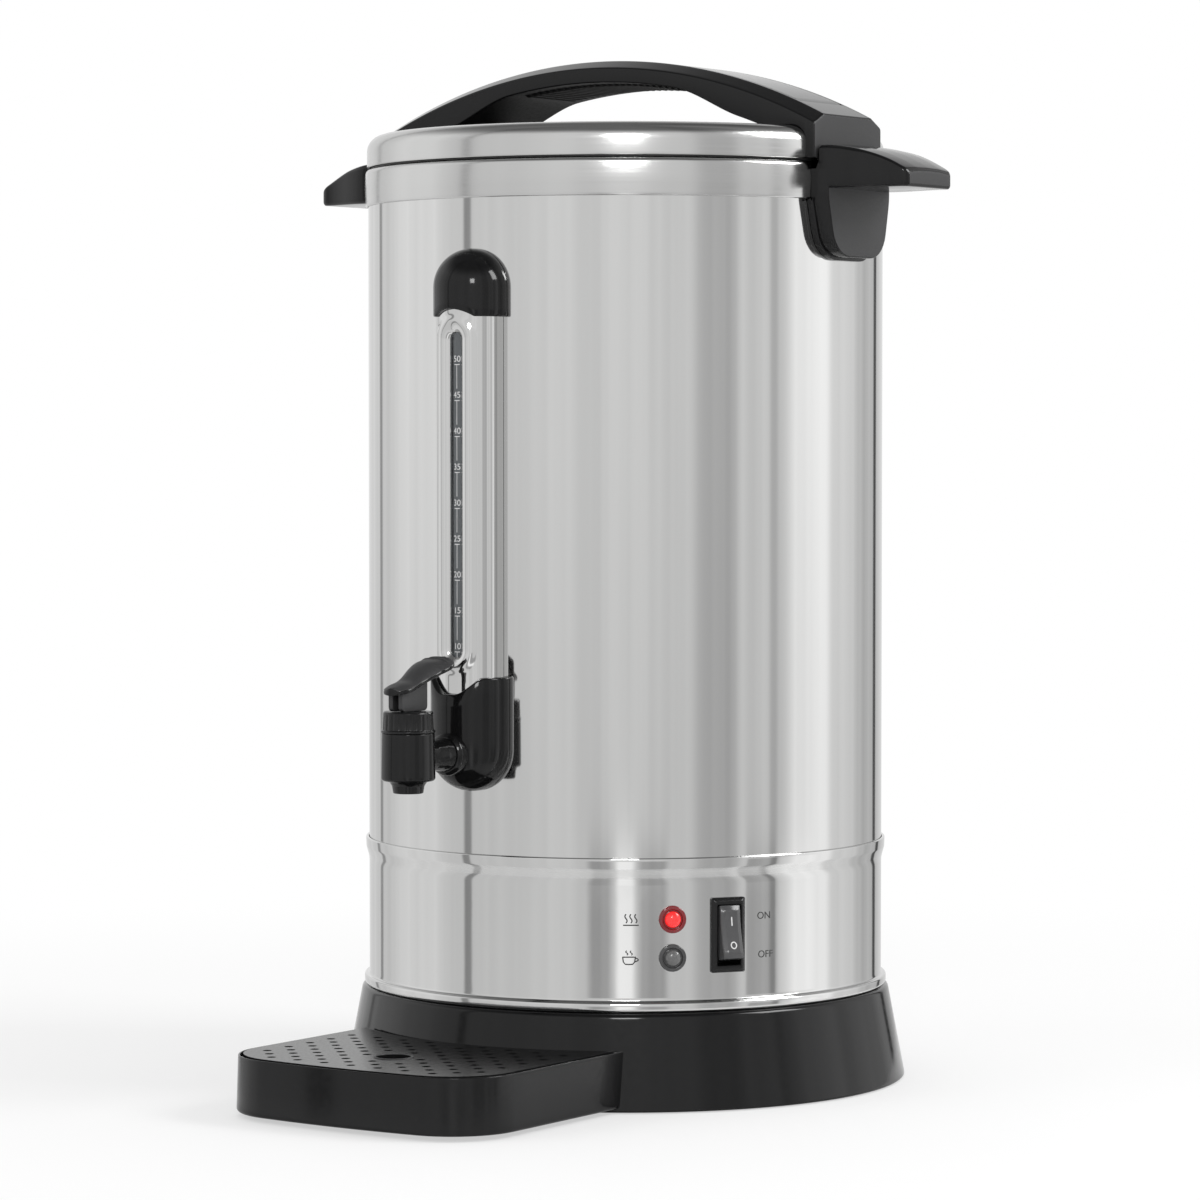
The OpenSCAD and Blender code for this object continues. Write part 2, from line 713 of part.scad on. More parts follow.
module lid_handle_screws() {
    color("#b0b2b4") for (x = [-arch_screw_x, arch_screw_x], y = [-arch_screw_y, arch_screw_y])
        translate([x, y, lid_top - sheet]) {
            translate([0, 0, -2.4]) cylinder(h = 2.4, r = lug_r * 2);
            translate([0, 0, -1]) cylinder(h = 6.6, r = lug_r);
        }
}

// Side handles
grip_top = collar_top + grip_rise;
grip_low = grip_top - grip_t;
sweep_r = norm([arch_half, arch_w / 2]) + 0.6;

module side_handle() {
    tip = body_r + grip_reach;
    start = body_r - 4;
    crown = body_r + 3;
    crown_run = grip_reach - 4;
    crown_r = (crown_run * crown_run + grip_drop * grip_drop) / (2 * grip_drop);
    half = grip_w / 2;
    tip_half = grip_tip_w / 2;
    waist = body_r + 12;
    bend = tip - waist;
    plan = concat([[half, start], [half, waist]],
        [for (i = [1:6])
            [tip_half + (half - tip_half) * (1 + cos(i * 28)) / 2, waist + (bend - 5) * i / 6]],
        arc(tip_half - 4, tip - 4, 4, 0, 90, 5));
    side = concat([[start, grip_low], [tip - 2.5, grip_low]],
        arc(tip - 2.5, grip_low + 2.5, 2.5, -90, 0, 4),
        [for (i = [10:-1:0]) let (x = crown_run * i / 10)
            [crown + x, grip_top - crown_r + sqrt(crown_r * crown_r - x * x)]], [[start, grip_top]]);
    tongue_z = grip_low - tongue_h;
    low_half = tongue_low_w / 2;
    curve_z = grip_low - tongue_h / 3;
    tongue = concat([[half, grip_low + 4], [half, curve_z]],
        [for (i = [1:6])
            [low_half + (half - low_half) * cos(i * 15), curve_z - (curve_z - tongue_z) * sin(i * 15)]]);
    difference() {
        union() {
            intersection() {
                translate([0, 0, grip_low - 1])
                    linear_extrude(grip_t + 2) rotate(-90) polygon(both_sides(plan));
                translate([0, half + 1, 0]) rotate([90, 0, 0]) linear_extrude(grip_w + 2) polygon(side);
            }
            translate([start, 0, 0]) rotate([90, 0, 90])
                linear_extrude(tongue_proud + body_r - start) polygon(both_sides(tongue));
        }
        body_space(seat_gap);
        translate([0, 0, collar_top - collar_h - seat_gap])
            cylinder(h = collar_h + 2 * seat_gap, r = body_r + collar_proud + seat_gap, $fn = 128);
        translate([0, 0, collar_top]) cylinder(h = 40, r = sweep_r, $fn = 128);
        for (y = [-lug_y, lug_y])
            translate([start, y, lug_z]) rotate([0, 90, 0]) cylinder(h = 10.5, r = lug_r + run_fit);
    }
}

module handle_right() { color("#131313") side_handle(); }

module handle_left() { color("#131313") rotate([0, 0, 180]) side_handle(); }

module handle_screws() {
    head_x = sqrt((body_r - sheet) * (body_r - sheet) - (lug_y + 4) * (lug_y + 4)) - 0.1;
    color("#b0b2b4") for (s = [0, 180], y = [-lug_y, lug_y])
        rotate([0, 0, s]) translate([head_x, y, lug_z]) rotate([0, 90, 0]) {
            translate([0, 0, -2.2]) cylinder(h = 2.2, r = lug_r * 2);
            translate([0, 0, -1]) cylinder(h = body_r + 6 - head_x + 0.4, r = lug_r);
        }
}

// Gauge
cap_y = -(body_r + guard_proud + cap_front - cap_r);
cap_z = guard_top - cap_lap;
pod_r = guard_w / 2 + pod_side;
pod_y = -(body_r + guard_proud + pod_front - pod_r);
pod_z = tap_z + pod_drop;
pod_top = tap_z + pod_rise;
seal_r = tube_d / 2 + tube_seal;
riser_r = 1.8;

// Cross-section of the guard, grown by a gap
module guard_section(gap) {
    half = guard_w / 2;
    front = body_r + guard_proud;
    polygon(both_sides(concat([[half + gap, -(body_r - 4)]],
        arc(half - guard_round, -(front - guard_round), guard_round + gap, 0, -90, 10))));
}

// A slot with round ends in the guard's front, grown by a gap, from one depth to another
module slot_shape(gap, from_y, to_y) {
    r = slot_w / 2 + gap;
    low = guard_z + slot_low + slot_w / 2;
    high = guard_top - slot_high - slot_w / 2;
    translate([0, from_y, 0]) rotate([90, 0, 0]) {
        translate([0, low, 0]) cylinder(h = from_y - to_y, r = r);
        translate([0, high, 0]) cylinder(h = from_y - to_y, r = r);
        translate([-r, low, 0]) cube([2 * r, high - low, from_y - to_y]);
    }
}

module gauge_guard() {
    front = -(body_r + guard_proud);
    color("#cdd0d2") difference() {
        union() {
            translate([0, 0, guard_z]) linear_extrude(guard_len) difference() {
                guard_section(0);
                guard_section(-guard_sheet);
            }
            slot_shape(slot_rim_w, front + guard_sheet, front - slot_rim_t);
        }
        slot_shape(0, front + 8, front - 8);
        body_space(seat_gap);
    }
}

module gauge_tube() {
    color("#5a6064") translate([0, tube_y, guard_z - tube_past]) difference() {
        cylinder(h = guard_len + 2 * tube_past, r = tube_d / 2);
        translate([0, 0, -1]) cylinder(h = guard_len + 2 * tube_past + 2, r = tube_d / 2 - tube_wall);
    }
}

module gauge_seals() {
    h = tube_past - 2 * fit;
    color("#c8c4ba") for (z = [guard_z - tube_past, guard_top + 2 * fit])
        translate([0, tube_y, z]) difference() {
            cylinder(h = h, r = seal_r);
            translate([0, 0, -1]) cylinder(h = h + 2, r = tube_d / 2 + run_fit);
        }
}

module gauge_cap() {
    hollow_top = guard_top + tube_past + fit;
    color("#121212") difference() {
        translate([0, cap_y, 0]) rotate_extrude()
            polygon(concat([[0, cap_z], [cap_r, cap_z]], arc(0, cap_z + cap_skirt_h, cap_r, 0, 90, 12)));
        translate([0, 0, cap_z - 1]) linear_extrude(cap_lap + 1 + fit) guard_section(seat_gap);
        translate([0, tube_y, guard_top - 1])
            cylinder(h = hollow_top - guard_top + 1, r = seal_r + run_fit);
        translate([0, tube_y, hollow_top - 1]) cylinder(h = vent_z - hollow_top + 1, r = riser_r);
        radial_rod(0, vent_z, vent_r + run_fit, body_r - 5, body_r + tube_out + 2);
        translate([0, -body_r - guard_proud, cap_z - 15]) rotate([90, 0, 0]) cylinder(h = 20, r = 18);
        body_space(seat_gap);
    }
}

module gauge_pod() {
    seat_z = guard_z - tube_past - fit;
    boss_out = body_r + guard_proud + pod_front;
    color("#121212") difference() {
        union() {
            translate([0, pod_y, pod_z]) cylinder(h = pod_top - pod_z, r = pod_r);
            translate([0, pod_y, pod_z]) sphere(r = pod_r);
            translate([0, -boss_out + 3, tap_z]) rotate([90, 0, 0])
                cylinder(h = boss_len + 3, r1 = boss_r + 1.5, r2 = boss_r);
        }
        translate([0, 0, guard_z - fit]) linear_extrude(pod_rise) guard_section(seat_gap);
        translate([0, tube_y, seat_z]) cylinder(h = tube_past + 1, r = seal_r + run_fit);
        translate([0, tube_y, tap_z]) cylinder(h = seat_z - tap_z + 1, r = riser_r);
        radial_rod(0, tap_z, shank_r + 2 * fit, body_r - 5, boss_out + boss_len + 5);
        translate([-pod_r - 1, -(boss_out + 5.3), pod_top + 15])
            rotate([0, 90, 0]) cylinder(h = 2 * pod_r + 2, r = scoop_r);
        body_space(seat_gap);
    }
}

module gauge_vent_screw() {
    head_r = vent_r + 2.4;
    head_at = sqrt((body_r - sheet) * (body_r - sheet) - head_r * head_r) - 0.1;
    color("#c4c6c8") difference() {
        union() {
            radial_rod(0, vent_z, head_r, head_at - 2.4, head_at);
            radial_rod(0, vent_z, vent_r, head_at - 1, body_r + tube_out - 1.5);
        }
        radial_rod(0, vent_z, 1.5, head_at - 4, body_r + tube_out);
    }
}

// Tap
shank_in = body_r - sheet - shank_inside;
chamber_z = tap_z - 4;
tap_low_z = tap_z - tap_low;
tap_top = tap_z + tap_high;
bonnet_z = tap_top + fit;
bonnet_top = bonnet_z + bonnet_h;
bonnet_wall = 2.5;
pin_z = bonnet_top + pin_rise;
plug_z = chamber_z + seat_gap;
plug_h = 4.4;
stem_collar_z = plug_z + plug_h + fit;
stem_collar_t = 1.3;
spring_in = stem_r + 2.2;
blade_t = 2.2;
pin_slot = 3.8;

module tap_body() {
    seat_at = body_r + guard_proud + pod_front + boss_len + fit;
    color("#101010") difference() {
        union() {
            translate([0, tap_y, tap_low_z])
                cylinder(h = tap_top - tap_low_z, r1 = tap_r, r2 = tap_r - 0.3);
            translate([0, tap_y, tap_low_z - nozzle_len])
                cylinder(h = nozzle_len, r1 = nozzle_r, r2 = nozzle_r + 1);
            radial_rod(0, tap_z, shank_r, shank_in, body_r + tap_reach);
            radial_rod(0, tap_z, boss_r - 0.6, seat_at, seat_at + 2.4);
        }
        translate([0, tap_y, chamber_z]) cylinder(h = tap_top - chamber_z + 1, r = chamber_r);
        translate([0, tap_y, tap_low_z - nozzle_len - 1]) cylinder(h = nozzle_len + tap_low, r = outlet_r);
        radial_rod(0, tap_z, shank_bore_r, shank_in - 1, body_r + tap_reach);
        translate([0, tube_y, tap_z]) cylinder(h = shank_r + 1, r = riser_r);
    }
}

washer_r = 10;
washer_t = 2;
washer_at = sqrt((body_r - sheet) * (body_r - sheet) - washer_r * washer_r) - 0.1;

module tap_washer() {
    color("#c8c4ba") difference() {
        radial_rod(0, tap_z, washer_r, washer_at - washer_t, washer_at);
        radial_rod(0, tap_z, shank_r + fit, washer_at - washer_t - 1, washer_at + 1);
    }
}

module tap_locknut() {
    nut_t = 6;
    nut_at = washer_at - washer_t - nut_t;
    color("#1d1d1d") translate([0, -nut_at, tap_z]) rotate([90, 0, 0]) difference() {
        cylinder(h = nut_t, r = washer_r, $fn = 6);
        translate([0, 0, -1]) cylinder(h = nut_t + 2, r = shank_r + run_fit);
    }
}

module tap_bonnet() {
    sleeve_r = chamber_r - fit;
    hollow_r = sleeve_r - 1;
    color("#161616") translate([0, tap_y, 0]) difference() {
        union() {
            translate([0, 0, bonnet_z]) cylinder(h = bonnet_h, r1 = bonnet_r, r2 = bonnet_r - 0.5);
            translate([0, 0, bonnet_z]) cylinder(h = 1, r = bonnet_r + 0.6);
            translate([0, 0, bonnet_z - 5]) cylinder(h = 6, r = sleeve_r);
        }
        difference() {
            translate([0, 0, bonnet_z - 6]) cylinder(h = bonnet_h - bonnet_wall + 6, r = hollow_r);
            translate([0, 0, bonnet_z - 2]) cylinder(h = bonnet_h, r = stem_r + 1.5);
        }
        translate([0, 0, bonnet_z - 6]) cylinder(h = bonnet_h + 7, r = stem_r + run_fit);
        for (i = [0:bonnet_ribs - 1]) rotate([0, 0, i * 360 / bonnet_ribs])
            translate([bonnet_r + 0.1, 0, bonnet_z + 1.4]) cylinder(h = bonnet_h - 2.4, r = 0.6, $fn = 16);
    }
}

module tap_stem() {
    round_top = bonnet_top - bonnet_wall;
    color("#8f9294") translate([0, tap_y, 0]) difference() {
        union() {
            translate([0, 0, plug_z + 1.3]) cylinder(h = round_top - plug_z - 1.3, r = stem_r);
            translate([0, 0, stem_collar_z]) cylinder(h = stem_collar_t, r = spring_in + 1.2);
            translate([-blade_t / 2, -2.5, round_top - 1]) cube([blade_t, 5, pin_z + 2.5 - round_top + 1]);
        }
        translate([-10, 0, pin_z]) rotate([0, 90, 0]) cylinder(h = 20, r = pin_r + run_fit);
    }
}

module tap_plug() {
    color("#d8d4c8") translate([0, tap_y, plug_z]) difference() {
        cylinder(h = plug_h, r = outlet_r + 1.5);
        translate([0, 0, 1.2]) cylinder(h = plug_h, r = stem_r + run_fit);
    }
}

module tap_spring() {
    low = stem_collar_z + stem_collar_t + fit;
    color("#b4b6b8") translate([0, tap_y, low]) difference() {
        cylinder(h = bonnet_top - bonnet_wall - fit - low, r = spring_in + 1.2);
        translate([0, 0, -1]) cylinder(h = 30, r = spring_in);
    }
}

// Height of the lever's underside over its pin, which rises in a soft S from nose to thumb end
function lever_under(at) =
    let (run = lever_front + lever_back, s = (at + lever_front) / run)
    lever_low + run * tan(lever_slope) * (s - 0.06 * sin(360 * s));

module tap_lever() {
    half = cam_len / 2;
    low = -pin_rise + cam_gap;
    core = lever_t / 2;
    cam = concat([[-half, lever_under(-half) + core]],
        arc(-half + cam_round, low + cam_round, cam_round, 180, 270, 5),
        arc(half - cam_round, low + cam_round, cam_round, 270, 360, 5),
        [[half, lever_under(half) + core]]);
    steps = 12;
    along = [for (i = [0:steps]) -lever_front + (lever_front + lever_back) * i / steps];
    band = concat([for (y = along) [y, lever_under(y)]],
        [for (i = [steps:-1:0])
            [along[i], lever_under(along[i]) + lever_t + lever_crown * sin(180 * i / steps)]]);
    nose_at = -lever_front + nose_r;
    plan = concat(arc(0, nose_at, nose_r, -90, 10, 8), [[waist_r, nose_at + 8.5]],
        arc(0, lever_back - thumb_r, thumb_r, -25, 90, 10));
    slot_top = pin_slot - low + 1;
    color("#111111") translate([0, tap_y, pin_z]) difference() {
        union() {
            translate([-cam_t / 2, 0, 0]) rotate([90, 0, 90]) linear_extrude(cam_t) polygon(cam);
            intersection() {
                linear_extrude(40) polygon(both_sides(plan));
                translate([-15, 0, 0]) rotate([90, 0, 90]) linear_extrude(30) polygon(band);
            }
        }
        translate([-blade_t / 2 - 0.3, -5, low - 1]) cube([blade_t + 0.6, 10, slot_top]);
        translate([-blade_t / 2 - 0.3, -half - 1, low - 1]) cube([blade_t + 0.6, half - 3, 2 - low]);
        translate([-10, 0, 0]) rotate([0, 90, 0]) cylinder(h = 20, r = pin_r + run_fit);
    }
}

module lever_pin() {
    color("#c0c2c4") translate([-cam_t / 2, tap_y, pin_z])
        rotate([0, 90, 0]) cylinder(h = cam_t, r = pin_r);
}

// Controls
switch_z = skirt_h + switch_rise;
bezel_face = body_r + fit + bezel_t;
pivot_at = bezel_face - 5;
well_w = rocker_w + 2 * 0.3;
well_h = rocker_h + 3.2;
trunnion_r = 1.4;

module switch_housing() {
    box_w = cut_w - 4 * fit;
    box_h = cut_h - 4 * fit;
    color("#1a1a1a") rotate([0, 0, switch_az]) translate([0, 0, switch_z]) difference() {
        union() {
            translate([-bezel_w / 2, -bezel_face, -bezel_h / 2]) cube([bezel_w, bezel_t, bezel_h]);
            translate([-box_w / 2, -bezel_face + 0.5, -box_h / 2]) cube([box_w, switch_depth, box_h]);
            for (z = [-7, 0, 7]) translate([-2.4, -bezel_face + switch_depth, z - 0.4]) cube([4.8, 8, 0.8]);
        }
        translate([-well_w / 2, -bezel_face - 1, -well_h / 2]) cube([well_w, 15, well_h]);
        translate([-10, -pivot_at, 0]) rotate([0, 90, 0]) cylinder(h = 20, r = trunnion_r + run_fit);
    }
}

module switch_rocker() {
    half = rocker_h / 2;
    face = 5.6;
    rise = half * tan(rocker_tilt);
    v_shape = [[face + rise, half], [face, 0], [face + rise, -half], [2, -half],
        [-3.5, -half * 0.5], [-3.5, half * 0.5], [2, half]];
    color("#4a4a4c") rotate([0, 0, switch_az]) translate([0, -pivot_at, switch_z])
        rotate([-rocker_tilt, 0, 0]) rotate([0, 90, 0]) {
            translate([0, 0, -rocker_w / 2]) rotate([0, 0, -90]) linear_extrude(rocker_w) polygon(v_shape);
            translate([0, 0, -rocker_w / 2 - 1.2]) cylinder(h = rocker_w + 2.4, r = trunnion_r);
        }
}

// A round lamp with a flange and a domed lens, set in the casing
module lamp(z) {
    rotate([0, 0, lamp_az]) translate([0, -(body_r + fit), z]) rotate([90, 0, 0]) rotate_extrude()
        polygon(concat([[0, -14], [lens_r + 1.2, -14], [lens_r + 1.2, 0], [lamp_r, 0], [lamp_r, 0.9],
            [lamp_r - 0.6, 1.5], [lens_r + 0.2, 1.5]], arc(0, 0, lens_r, 30, 90, 8)));
}

module heating_lamp() { color("#d02018") lamp(skirt_h + lamp_high); }

module keep_warm_lamp() { color("#a8a8a4") lamp(skirt_h + lamp_low); }

module lamp_clips() {
    clip_r = lens_r + 3.4;
    at = sqrt((body_r - sheet) * (body_r - sheet) - clip_r * clip_r) - 0.1;
    color("#d8d8d4") for (z = [lamp_low, lamp_high]) difference() {
        radial_rod(lamp_az, skirt_h + z, clip_r, at - 1.6, at);
        radial_rod(lamp_az, skirt_h + z, lens_r + 1.2 + fit, at - 3, at + 1);
    }
}

// Drip tray
tray_top = tray_z + tray_h;

// Outline of the tray, drawn in by an inset and open to the urn behind
function tray_outline(inset) =
    let (half = tray_w / 2, front = body_r + tray_reach, centre = tray_bulge_r - front,
        run = tray_bulge_r - tray_corner_r, cx = half - tray_corner_r,
        cy = centre - sqrt(run * run - cx * cx), turn = asin(cx / run))
    both_sides(concat([[half - inset, -body_r * 0.8]], arc(cx, cy, tray_corner_r - inset, 0, turn - 90, 10),
        [for (i = [1:6]) let (a = turn * (1 - i / 6) - 90)
            [(tray_bulge_r - inset) * cos(a), centre + (tray_bulge_r - inset) * sin(a)]]));

module tray_slab(inset, low, high) {
    difference() {
        translate([0, 0, low]) linear_extrude(high - low) polygon(tray_outline(inset));
        skirt_cone(tray_gap + inset);
    }
}

module drip_tray() {
    ledge = 2;
    ledge_z = tray_top + grate_proud - grate_t - 0.1;
    color("#151515") {
        difference() {
            tray_slab(0, tray_z, tray_top);
            tray_slab(tray_wall, ledge_z, tray_top + 1);
            tray_slab(tray_wall + ledge, tray_z + tray_floor, tray_top);
        }
        intersection() {
            translate([-tray_tongue_w / 2, -skirt_foot_r - tray_wall, plate_top + clear])
                cube([tray_tongue_w, tray_wall + tray_tongue_len, tray_tongue_t]);
            skirt_cone(tray_gap + tray_wall / 2);
        }
    }
}

module drip_grate() {
    low = tray_top + grate_proud - grate_t;
    edge = tray_wall + clear;
    margin = edge + drain_r + 2.2;
    front = body_r + tray_reach;
    finger_y = tap_y - 10;
    corner_x = tray_w / 2 - tray_corner_r;
    corner_y = tray_corner_r - front;
    rows = floor(tray_reach / drain_y) * 2;
    cols = ceil(tray_w / drain_x / 2);
    back = skirt_foot_r - (skirt_foot_proud - skirt_top_proud) * tray_top / skirt_h + tray_gap + margin;
    color("#1e1e1e") difference() {
        tray_slab(edge, low, low + grate_t);
        translate([0, finger_y, low - 1]) cylinder(h = grate_t + 2, r = finger_r);
        for (j = [0:rows], i = [-cols:cols]) {
            x = (i + (j % 2) / 2) * drain_x;
            y = finger_y + (j - rows / 2) * drain_y / 2;
            inside = abs(x) < tray_w / 2 - margin && norm([x, y]) > back
                && norm([x, y - (tray_bulge_r - front)]) < tray_bulge_r - margin
                && (abs(x) < corner_x || y > corner_y
                    || norm([abs(x) - corner_x, y - corner_y - 3]) < tray_corner_r - margin)
                && norm([x, y - finger_y]) > finger_r + drain_r + 1.5;
            if (inside) translate([x, y, low - 1]) cylinder(h = grate_t + 2, r = drain_r, $fn = 24);
        }
    }
}

base_skirt();
base_plate();
rubber_feet();
base_screws();
cord_gland();
gland_nut();
lower_casing();
tank_shell();
tank_floor();
heating_plate();
heating_element();
boil_dry_cutout();
keep_warm_thermostat();
centre_stud();
centre_nut();
terminal_block();
wire_loom();
rim_collar();
lid_cover();
lid_pan();
lid_seal();
lid_handle();
lid_handle_panel();
lid_handle_screws();
handle_right();
handle_left();
handle_screws();
gauge_guard();
gauge_tube();
gauge_seals();
gauge_cap();
gauge_pod();
gauge_vent_screw();
tap_body();
tap_washer();
tap_locknut();
tap_bonnet();
tap_stem();
tap_plug();
tap_spring();
tap_lever();
lever_pin();
switch_housing();
switch_rocker();
heating_lamp();
keep_warm_lamp();
lamp_clips();
drip_tray();
drip_grate();
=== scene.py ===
"""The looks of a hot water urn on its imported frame. Shapes are drawn in millimetres in the CAD frame."""

import json
import math

import bmesh
import bpy
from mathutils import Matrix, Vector


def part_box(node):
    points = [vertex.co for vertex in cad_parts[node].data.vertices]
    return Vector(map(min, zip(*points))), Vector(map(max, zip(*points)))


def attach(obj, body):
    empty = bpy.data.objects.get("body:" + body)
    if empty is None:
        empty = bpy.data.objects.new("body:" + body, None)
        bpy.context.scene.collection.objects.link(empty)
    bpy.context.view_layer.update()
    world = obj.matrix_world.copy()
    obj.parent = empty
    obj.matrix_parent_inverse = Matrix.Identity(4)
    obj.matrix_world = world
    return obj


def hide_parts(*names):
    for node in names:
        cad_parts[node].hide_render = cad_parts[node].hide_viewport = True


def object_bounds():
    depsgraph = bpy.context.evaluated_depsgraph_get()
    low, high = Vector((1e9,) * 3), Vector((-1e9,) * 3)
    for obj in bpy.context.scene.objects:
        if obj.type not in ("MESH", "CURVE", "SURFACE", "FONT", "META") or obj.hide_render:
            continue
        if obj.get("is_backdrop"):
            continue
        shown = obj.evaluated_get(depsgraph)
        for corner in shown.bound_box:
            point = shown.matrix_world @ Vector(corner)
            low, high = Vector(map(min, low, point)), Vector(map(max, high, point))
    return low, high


MM = 0.001
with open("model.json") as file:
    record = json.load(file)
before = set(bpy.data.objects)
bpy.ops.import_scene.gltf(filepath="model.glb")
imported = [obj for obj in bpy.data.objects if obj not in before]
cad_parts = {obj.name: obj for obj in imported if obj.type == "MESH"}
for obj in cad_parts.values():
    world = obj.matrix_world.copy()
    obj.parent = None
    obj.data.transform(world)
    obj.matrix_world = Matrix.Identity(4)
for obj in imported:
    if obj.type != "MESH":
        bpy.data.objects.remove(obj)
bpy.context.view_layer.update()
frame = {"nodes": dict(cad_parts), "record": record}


def node_box(node):
    low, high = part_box(node)
    return low / MM, high / MM


# Places and sizes read from the frame
tank_low, tank_high = node_box("tank_shell")
casing_low, casing_high = node_box("lower_casing")
collar_low, collar_high = node_box("rim_collar")
lid_low, lid_high = node_box("lid_cover")
skirt_low, skirt_high = node_box("base_skirt")
arch_low, arch_high = node_box("lid_handle")
panel_high = node_box("lid_handle_panel")[1]
grip_high = node_box("handle_right")[1]
guard_low, guard_high = node_box("gauge_guard")
tube_low, tube_high = node_box("gauge_tube")
cap_low, cap_high = node_box("gauge_cap")
pod_low, pod_high = node_box("gauge_pod")
tap_low, tap_high = node_box("tap_body")
bonnet_high = node_box("tap_bonnet")[1]
pin_low, pin_high = node_box("lever_pin")
tray_low, tray_high = node_box("drip_tray")
gland_low, gland_high = node_box("cord_gland")
switch_low, switch_high = node_box("switch_housing")
grate_high = node_box("drip_grate")[1]

# The body's radius, the sheet's thickness and the gap under a piece that sits on the body
BODY_R = tank_high.x
SHEET = 1.0
SEAT = 0.2

# Camera
VIEW_AZ = math.radians(34.2)
EYE_BACK, EYE_HEIGHT = 1938.47, 280.02
right = Vector((math.cos(VIEW_AZ), math.sin(VIEW_AZ), 0))
back = Vector((math.sin(VIEW_AZ), -math.cos(VIEW_AZ), 0))
pitch, yaw = math.radians(2.2536), math.radians(0.3216)
forward = -(right * math.sin(yaw) + back * math.cos(yaw)) * math.cos(pitch) - Vector((0, 0, math.sin(pitch)))
lens = bpy.data.cameras.new("camera")
lens.sensor_width = 36
lens.lens = 135.41
lens.clip_start = 0.05
lens.clip_end = 30
camera = bpy.data.objects.new("camera", lens)
camera.location = (back * EYE_BACK + Vector((0, 0, EYE_HEIGHT))) * MM
camera.rotation_mode = "QUATERNION"
camera.rotation_quaternion = forward.to_track_quat("-Z", "Y")
bpy.context.scene.collection.objects.link(camera)
bpy.context.scene.camera = camera


# Drawing helpers
ARC_STEP = math.radians(11)
ROUND_STEPS = 288
CREASE = 38
WELD, SLIVER = 0.002 * MM, 0.0005 * MM


def smoothstep(low, high, value):
    t = min(1, max(0, (value - low) / (high - low)))
    return t * t * (3 - 2 * t)


def rounded(points, closed=True, flat=True):
    """The polyline through (x, y) points, with each (x, y, radius) corner rounded."""
    path, count = [], len(points)
    for i, (x, y, *soft) in enumerate(points):
        corner = Vector((x, y))
        if not soft or (not closed and i in (0, count - 1)):
            path.append((x, y))
            continue
        before = Vector(points[i - 1][:2]) - corner
        after = Vector(points[(i + 1) % count][:2]) - corner
        u, v = before.normalized(), after.normalized()
        half = u.angle(v) / 2
        reach = min(soft[0] / math.tan(half), before.length * 0.49, after.length * 0.49)
        radius = reach * math.tan(half)
        centre = corner + (u + v).normalized() * (radius / math.sin(half))
        start = corner + u * reach - centre
        end = corner + v * reach - centre
        sweep = math.pi - 2 * half
        turn = math.copysign(sweep, start.x * end.y - start.y * end.x)
        steps = max(2, round(sweep / ARC_STEP))
        arc = []
        for k in range(steps + 1):
            a = turn * k / steps
            arc.append((centre.x + start.x * math.cos(a) - start.y * math.sin(a),
                        centre.y + start.x * math.sin(a) + start.y * math.cos(a)))
        # A point beside the arc keeps the shading of a long straight side flat
        if flat and before.length / 2 - reach > 2:
            arc.insert(0, tuple(corner + u * (reach + 1)))
        if flat and after.length / 2 - reach > 2:
            arc.append(tuple(corner + v * (reach + 1)))
        path += arc
    return path


def inset(loop, depth):
    """A closed loop of (x, y) points drawn in by a depth."""
    area = sum(a[0] * b[1] - b[0] * a[1] for a, b in zip(loop, loop[1:] + loop[:1]))
    side = math.copysign(depth, area)
    drawn = []
    for i, (x, y) in enumerate(loop):
        u = (Vector((x, y)) - Vector(loop[i - 1])).normalized()
        v = (Vector(loop[(i + 1) % len(loop)]) - Vector((x, y))).normalized()
        normal = Vector((-u.y - v.y, u.x + v.x))
        normal *= side * 2 / max(normal.length_squared, 0.8)
        drawn.append((x + normal.x, y + normal.y))
    return drawn


def loft(rings, wrap=True, loop=False, ends=False):
    """Points and faces through rings of equal length. wrap closes each ring, loop the row of rings."""
    count = len(rings[0])
    points = [p for ring in rings for p in ring]
    faces = []
    for i in range(len(rings) if loop else len(rings) - 1):
        a, b = i * count, (i + 1) % len(rings) * count
        for k in range(count if wrap else count - 1):
            m = (k + 1) % count
            faces.append((a + k, a + m, b + m, b + k))
    if ends:
        last = (len(rings) - 1) * count
        faces += [tuple(range(count)), tuple(range(last, last + count))]
    return points, faces


def upright(x, y):
    """Places a turned point on a vertical axis, with angle 0 in front."""
    return lambda r, h, a: (x + r * math.sin(a), y - r * math.cos(a), h)


def outward(az, z):
    """Places a turned point on a level axis from the urn's own, with h the distance from it."""
    s, c = math.sin(az), math.cos(az)
    return lambda r, h, a: (h * s + r * math.cos(a) * c, -h * c + r * math.cos(a) * s, z + r * math.sin(a))


def turned(profile, place, segments=128, closed=True):
    """A profile of (radius, height) points turned about an axis."""
    rings = [[place(r, h, 2 * math.pi * k / segments) for r, h in profile] for k in range(segments)]
    return loft(rings, wrap=closed, loop=True)


def slab(outline, low, high, soft, place, steps=4):
    """An outline drawn out between two levels, with rounded edges."""
    levels = []
    for k in range(steps + 1):
        a = math.pi / 2 * k / steps
        levels.append((soft * (1 - math.sin(a)), soft * (1 - math.cos(a))))
    rings = [[place(x, y, low + d) for x, y in inset(outline, e)] for e, d in levels]
    rings += [[place(x, y, high - d) for x, y in inset(outline, e)] for e, d in reversed(levels)]
    return loft(rings, ends=True)


def moved(part, change):
    """A part with each of its points changed."""
    points, faces = part
    return [change(Vector(p)) for p in points], faces


